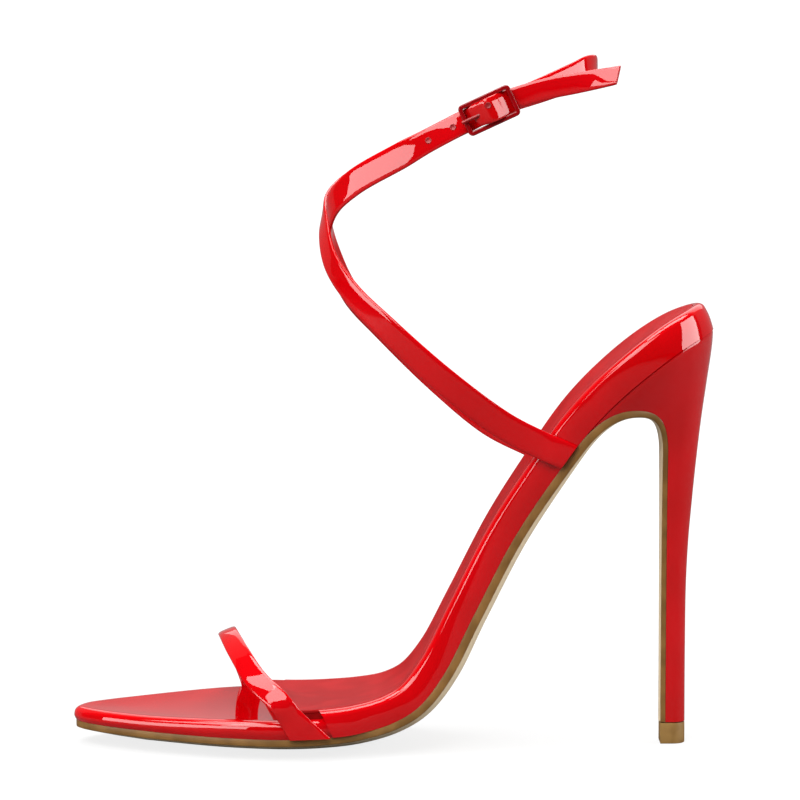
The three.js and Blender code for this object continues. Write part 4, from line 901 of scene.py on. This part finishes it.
def rod(name, points, radius, material, replaces=()):
    """A round bar of even radius along a smooth path, with domed ends."""
    row = np.arange(120)
    at = curve_through(points)(np.linspace(0, 1, len(row)))
    along = unit(np.gradient(at, axis=0))
    # The rings are turned from a direction of the buckle that no rod runs along
    side = unit(np.cross(along, BUCKLE_TURN @ np.array([0, 0.6, 0.8])))
    up = np.cross(side, along)
    q = np.linspace(0, 2 * np.pi, 20, endpoint=False)[:, None]
    end = np.minimum(row, row[::-1]) / 4
    r = radius * np.sqrt(1 - (1 - np.clip(end, 0, 1))**2)
    rings = at[:, None] + r[:, None, None] * (np.cos(q) * side[:, None] + np.sin(q) * up[:, None])
    make_piece(name, rings, material, replaces)


def ring_round_bar(name, radius, inner, length, material):
    """A sleeve round the centre bar: a rounded wall section turned about the bar."""
    q = np.linspace(0, 2 * np.pi, 48, endpoint=False)
    p = np.linspace(0, 2 * np.pi, 24, endpoint=False)
    w = length / 2 * squared_off(np.cos(p), 0.3)
    r = (radius + inner) / 2 + (radius - inner) / 2 * np.sin(p)
    rings = at_buckle(r * np.cos(q)[:, None], w, r * np.sin(q)[:, None])
    make_piece(name, np.concatenate([rings, rings[:1]]), material)


def punched_hole(name, u, w, level, lift):
    """A punched hole: a thin raised lip round a floor, both coloured dark as painted shade of the inside of
    the hole; a turned profile set on the tongue's face, which lies at a level out from the ankle and leans
    up by lift degrees."""
    q, a = np.linspace(0, 2 * np.pi, 40, endpoint=False), math.radians(lift)
    profile = [(0, 0.02), (0.6, 0.02), (0.68, 0.06), (0.78, 0.11), (0.9, 0.09), (0.98, -0.02),
               (0.98, -0.3), (0, -0.3)]
    face = level + HALF_STRAP + STRAP_CROWN
    rings = np.array([at_buckle(u + r * np.cos(q), w + r * np.sin(q) * math.cos(a) + n * math.sin(a),
                                face - r * np.sin(q) * math.sin(a) + n * math.cos(a)) for r, n in profile])
    make_piece(name, rings, prong_red_and_hole_shade)


wrapped_platform()
rim_wall()
insole_cover()
outsole_sheet()
heel_block()
top_piece()
toe_strap()
ankle_straps()
buckle_frame_piece()
rod("buckle_bar", [at_buckle(0, w, 0) for w in (-(BUCKLE_WIDTH - BAR) / 2, 0, (BUCKLE_WIDTH - BAR) / 2)],
    BAR_RADIUS, enamel)
# The prong lies on the frame's bar; its loop goes round the centre bar
lie = BUCKLE_THICK / 2 + GAP + PRONG_RADIUS
ring_top = BAR_RADIUS + GAP + PRONG_LOOP
# The prong pin takes the same dark red that serves as the holes' painted shade
rod("prong_pin", [at_buckle(u, 0, n) for u, n in (
    (-PRONG_RADIUS / 2, ring_top - PRONG_RADIUS / 2), (-BAR_INSIDE / 2, lie), (-BAR_INSIDE, lie),
    (-HALF_BUCKLE - PRONG_RADIUS, lie))], PRONG_RADIUS, prong_red_and_hole_shade, ["buckle_prong"])
ring_round_bar("prong_loop", ring_top, BAR_RADIUS + 0.05, PRONG_WIDTH, enamel)
ring_round_bar("strap_fold", SLEEVE_RADIUS, BAR_RADIUS + 0.1, TONGUE_WIDTH, patent)
for number, hole in enumerate([(-11.9, 0.0, UNDER_BAR, HOLE_LIFT),
                               (-20.2, -0.5, UNDER_BAR - GAP + 0.05, HOLE_LIFT),
                               (0.4, 1.5, OVER_BAR, 0)]):
    punched_hole(f"punched_hole_{number}", *hole)

# ---------------------------------------------------------------- studio


def stage_plane(name, points, colour, roughness):
    """A floor from two equal rows of points, joined by quads. It glows white for the camera, by
    0.81 at the shoe and 0.98 well away from it, and for reflections only far behind the shoe."""
    mesh = bpy.data.meshes.new(name)
    count = len(points) // 2
    mesh.from_pydata(points, [], [(i, i + 1, count + i + 1, count + i) for i in range(count - 1)])
    mesh.polygons.foreach_set("use_smooth", np.ones(len(mesh.polygons), bool))
    material = bpy.data.materials.new(name + "_paint")
    material.use_nodes = True
    tree = material.node_tree
    shader = tree.nodes["Principled BSDF"]
    shader.inputs["Base Color"].default_value = (*colour, 1)
    shader.inputs["Roughness"].default_value = roughness
    shader.inputs["Emission Color"].default_value = (1, 1, 1, 1)
    seen, place = add(tree, "ShaderNodeLightPath"), add(tree, "ShaderNodeTexCoord")
    split, either = add(tree, "ShaderNodeSeparateXYZ"), add(tree, "ShaderNodeMath", operation="ABSOLUTE")
    far = add(tree, "ShaderNodeMapRange", in_From_Min=0.05, in_From_Max=0.9, in_To_Min=0.81, in_To_Max=0.98)
    back = add(tree, "ShaderNodeMapRange", in_From_Min=0.3, in_From_Max=1.4, in_To_Min=0.0, in_To_Max=0.225)
    glow = add(tree, "ShaderNodeMath", operation="MULTIPLY")
    both = add(tree, "ShaderNodeMath", operation="MULTIPLY_ADD")
    tree.links.new(place.outputs["Object"], split.inputs[0])
    tree.links.new(split.outputs["Y"], either.inputs[0])
    tree.links.new(either.outputs[0], far.inputs["Value"])
    tree.links.new(far.outputs["Result"], glow.inputs[0])
    tree.links.new(seen.outputs["Is Camera Ray"], glow.inputs[1])
    tree.links.new(split.outputs["Y"], back.inputs["Value"])
    tree.links.new(back.outputs["Result"], both.inputs[0])
    tree.links.new(seen.outputs["Is Glossy Ray"], both.inputs[1])
    tree.links.new(glow.outputs[0], both.inputs[2])
    tree.links.new(both.outputs[0], shader.inputs["Emission Strength"])
    mesh.materials.append(material)
    piece = bpy.data.objects.new(name, mesh)
    bpy.context.scene.collection.objects.link(piece)


# Floor that sweeps up into a wall well behind the shoe, over a quarter circle
FLOOR_BACK, SWEEP_RADIUS = 1.2, 1.2
sweep = [(-4.0, 0.0), *((FLOOR_BACK + SWEEP_RADIUS * math.sin(q), SWEEP_RADIUS * (1 - math.cos(q)))
                        for q in np.linspace(0, math.pi / 2, 24)), (FLOOR_BACK + SWEEP_RADIUS, 5.0)]
stage_plane("studio_floor", [(x, y, z) for x in (-6.0, 6.0) for y, z in sweep], (0.1, 0.1, 0.1), 0.9)


LIT = (0.035, 0.0, 0.08)


def softbox(name, at, size, power):
    """A white panel light at a place, turned to the middle of the shoe: metres and watts."""
    light = bpy.data.lights.new(name, "AREA")
    light.shape = "RECTANGLE"
    light.size, light.size_y = size
    light.energy = power
    lamp = bpy.data.objects.new(name, light)
    lamp.location = at
    lamp.rotation_euler = (Vector(LIT) - Vector(at)).to_track_quat("-Z", "Y").to_euler()
    bpy.context.scene.collection.objects.link(lamp)


softbox("box_left_low", (-1.32, -0.9, 0.35), (1.43, 0.52), 16)
softbox("box_left_high", (-0.4, -1.07, 1.2), (1.15, 1.1), 27)
softbox("box_right", (1.44, -0.24, 0.5), (1.1, 0.9), 23)
softbox("box_left_top", (-0.78, -0.32, 1.42), (0.72, 0.72), 11)
softbox("box_top", (0.0, 0.3, 1.9), (1.4, 1.0), 33)
softbox("box_back", (0.3, 1.6, 1.2), (2.0, 1.2), 9)

world = bpy.data.worlds.new("studio_air")
bpy.context.scene.world = world
world.use_nodes = True
world.node_tree.nodes["Background"].inputs["Color"].default_value = (0.9, 0.9, 0.92, 1)
world.node_tree.nodes["Background"].inputs["Strength"].default_value = 0.06

# ---------------------------------------------------------------- camera

TARGET, DISTANCE, ELEVATION = (0.036, 0.0, 0.1054), 1.2, math.radians(5.1)
FOCAL_PIXELS, PICTURE_PIXELS, SENSOR = 3934, 800, 36
lens = bpy.data.cameras.new("photo_camera")
lens.sensor_width = SENSOR
lens.lens = FOCAL_PIXELS / PICTURE_PIXELS * SENSOR
camera = bpy.data.objects.new("photo_camera", lens)
camera.location = (TARGET[0], TARGET[1] - DISTANCE * math.cos(ELEVATION),
                   TARGET[2] + DISTANCE * math.sin(ELEVATION))
camera.rotation_euler = (math.pi / 2 - ELEVATION, 0, 0)
bpy.context.scene.collection.objects.link(camera)
bpy.context.scene.camera = camera
bpy.context.scene.view_settings.view_transform = "Standard"
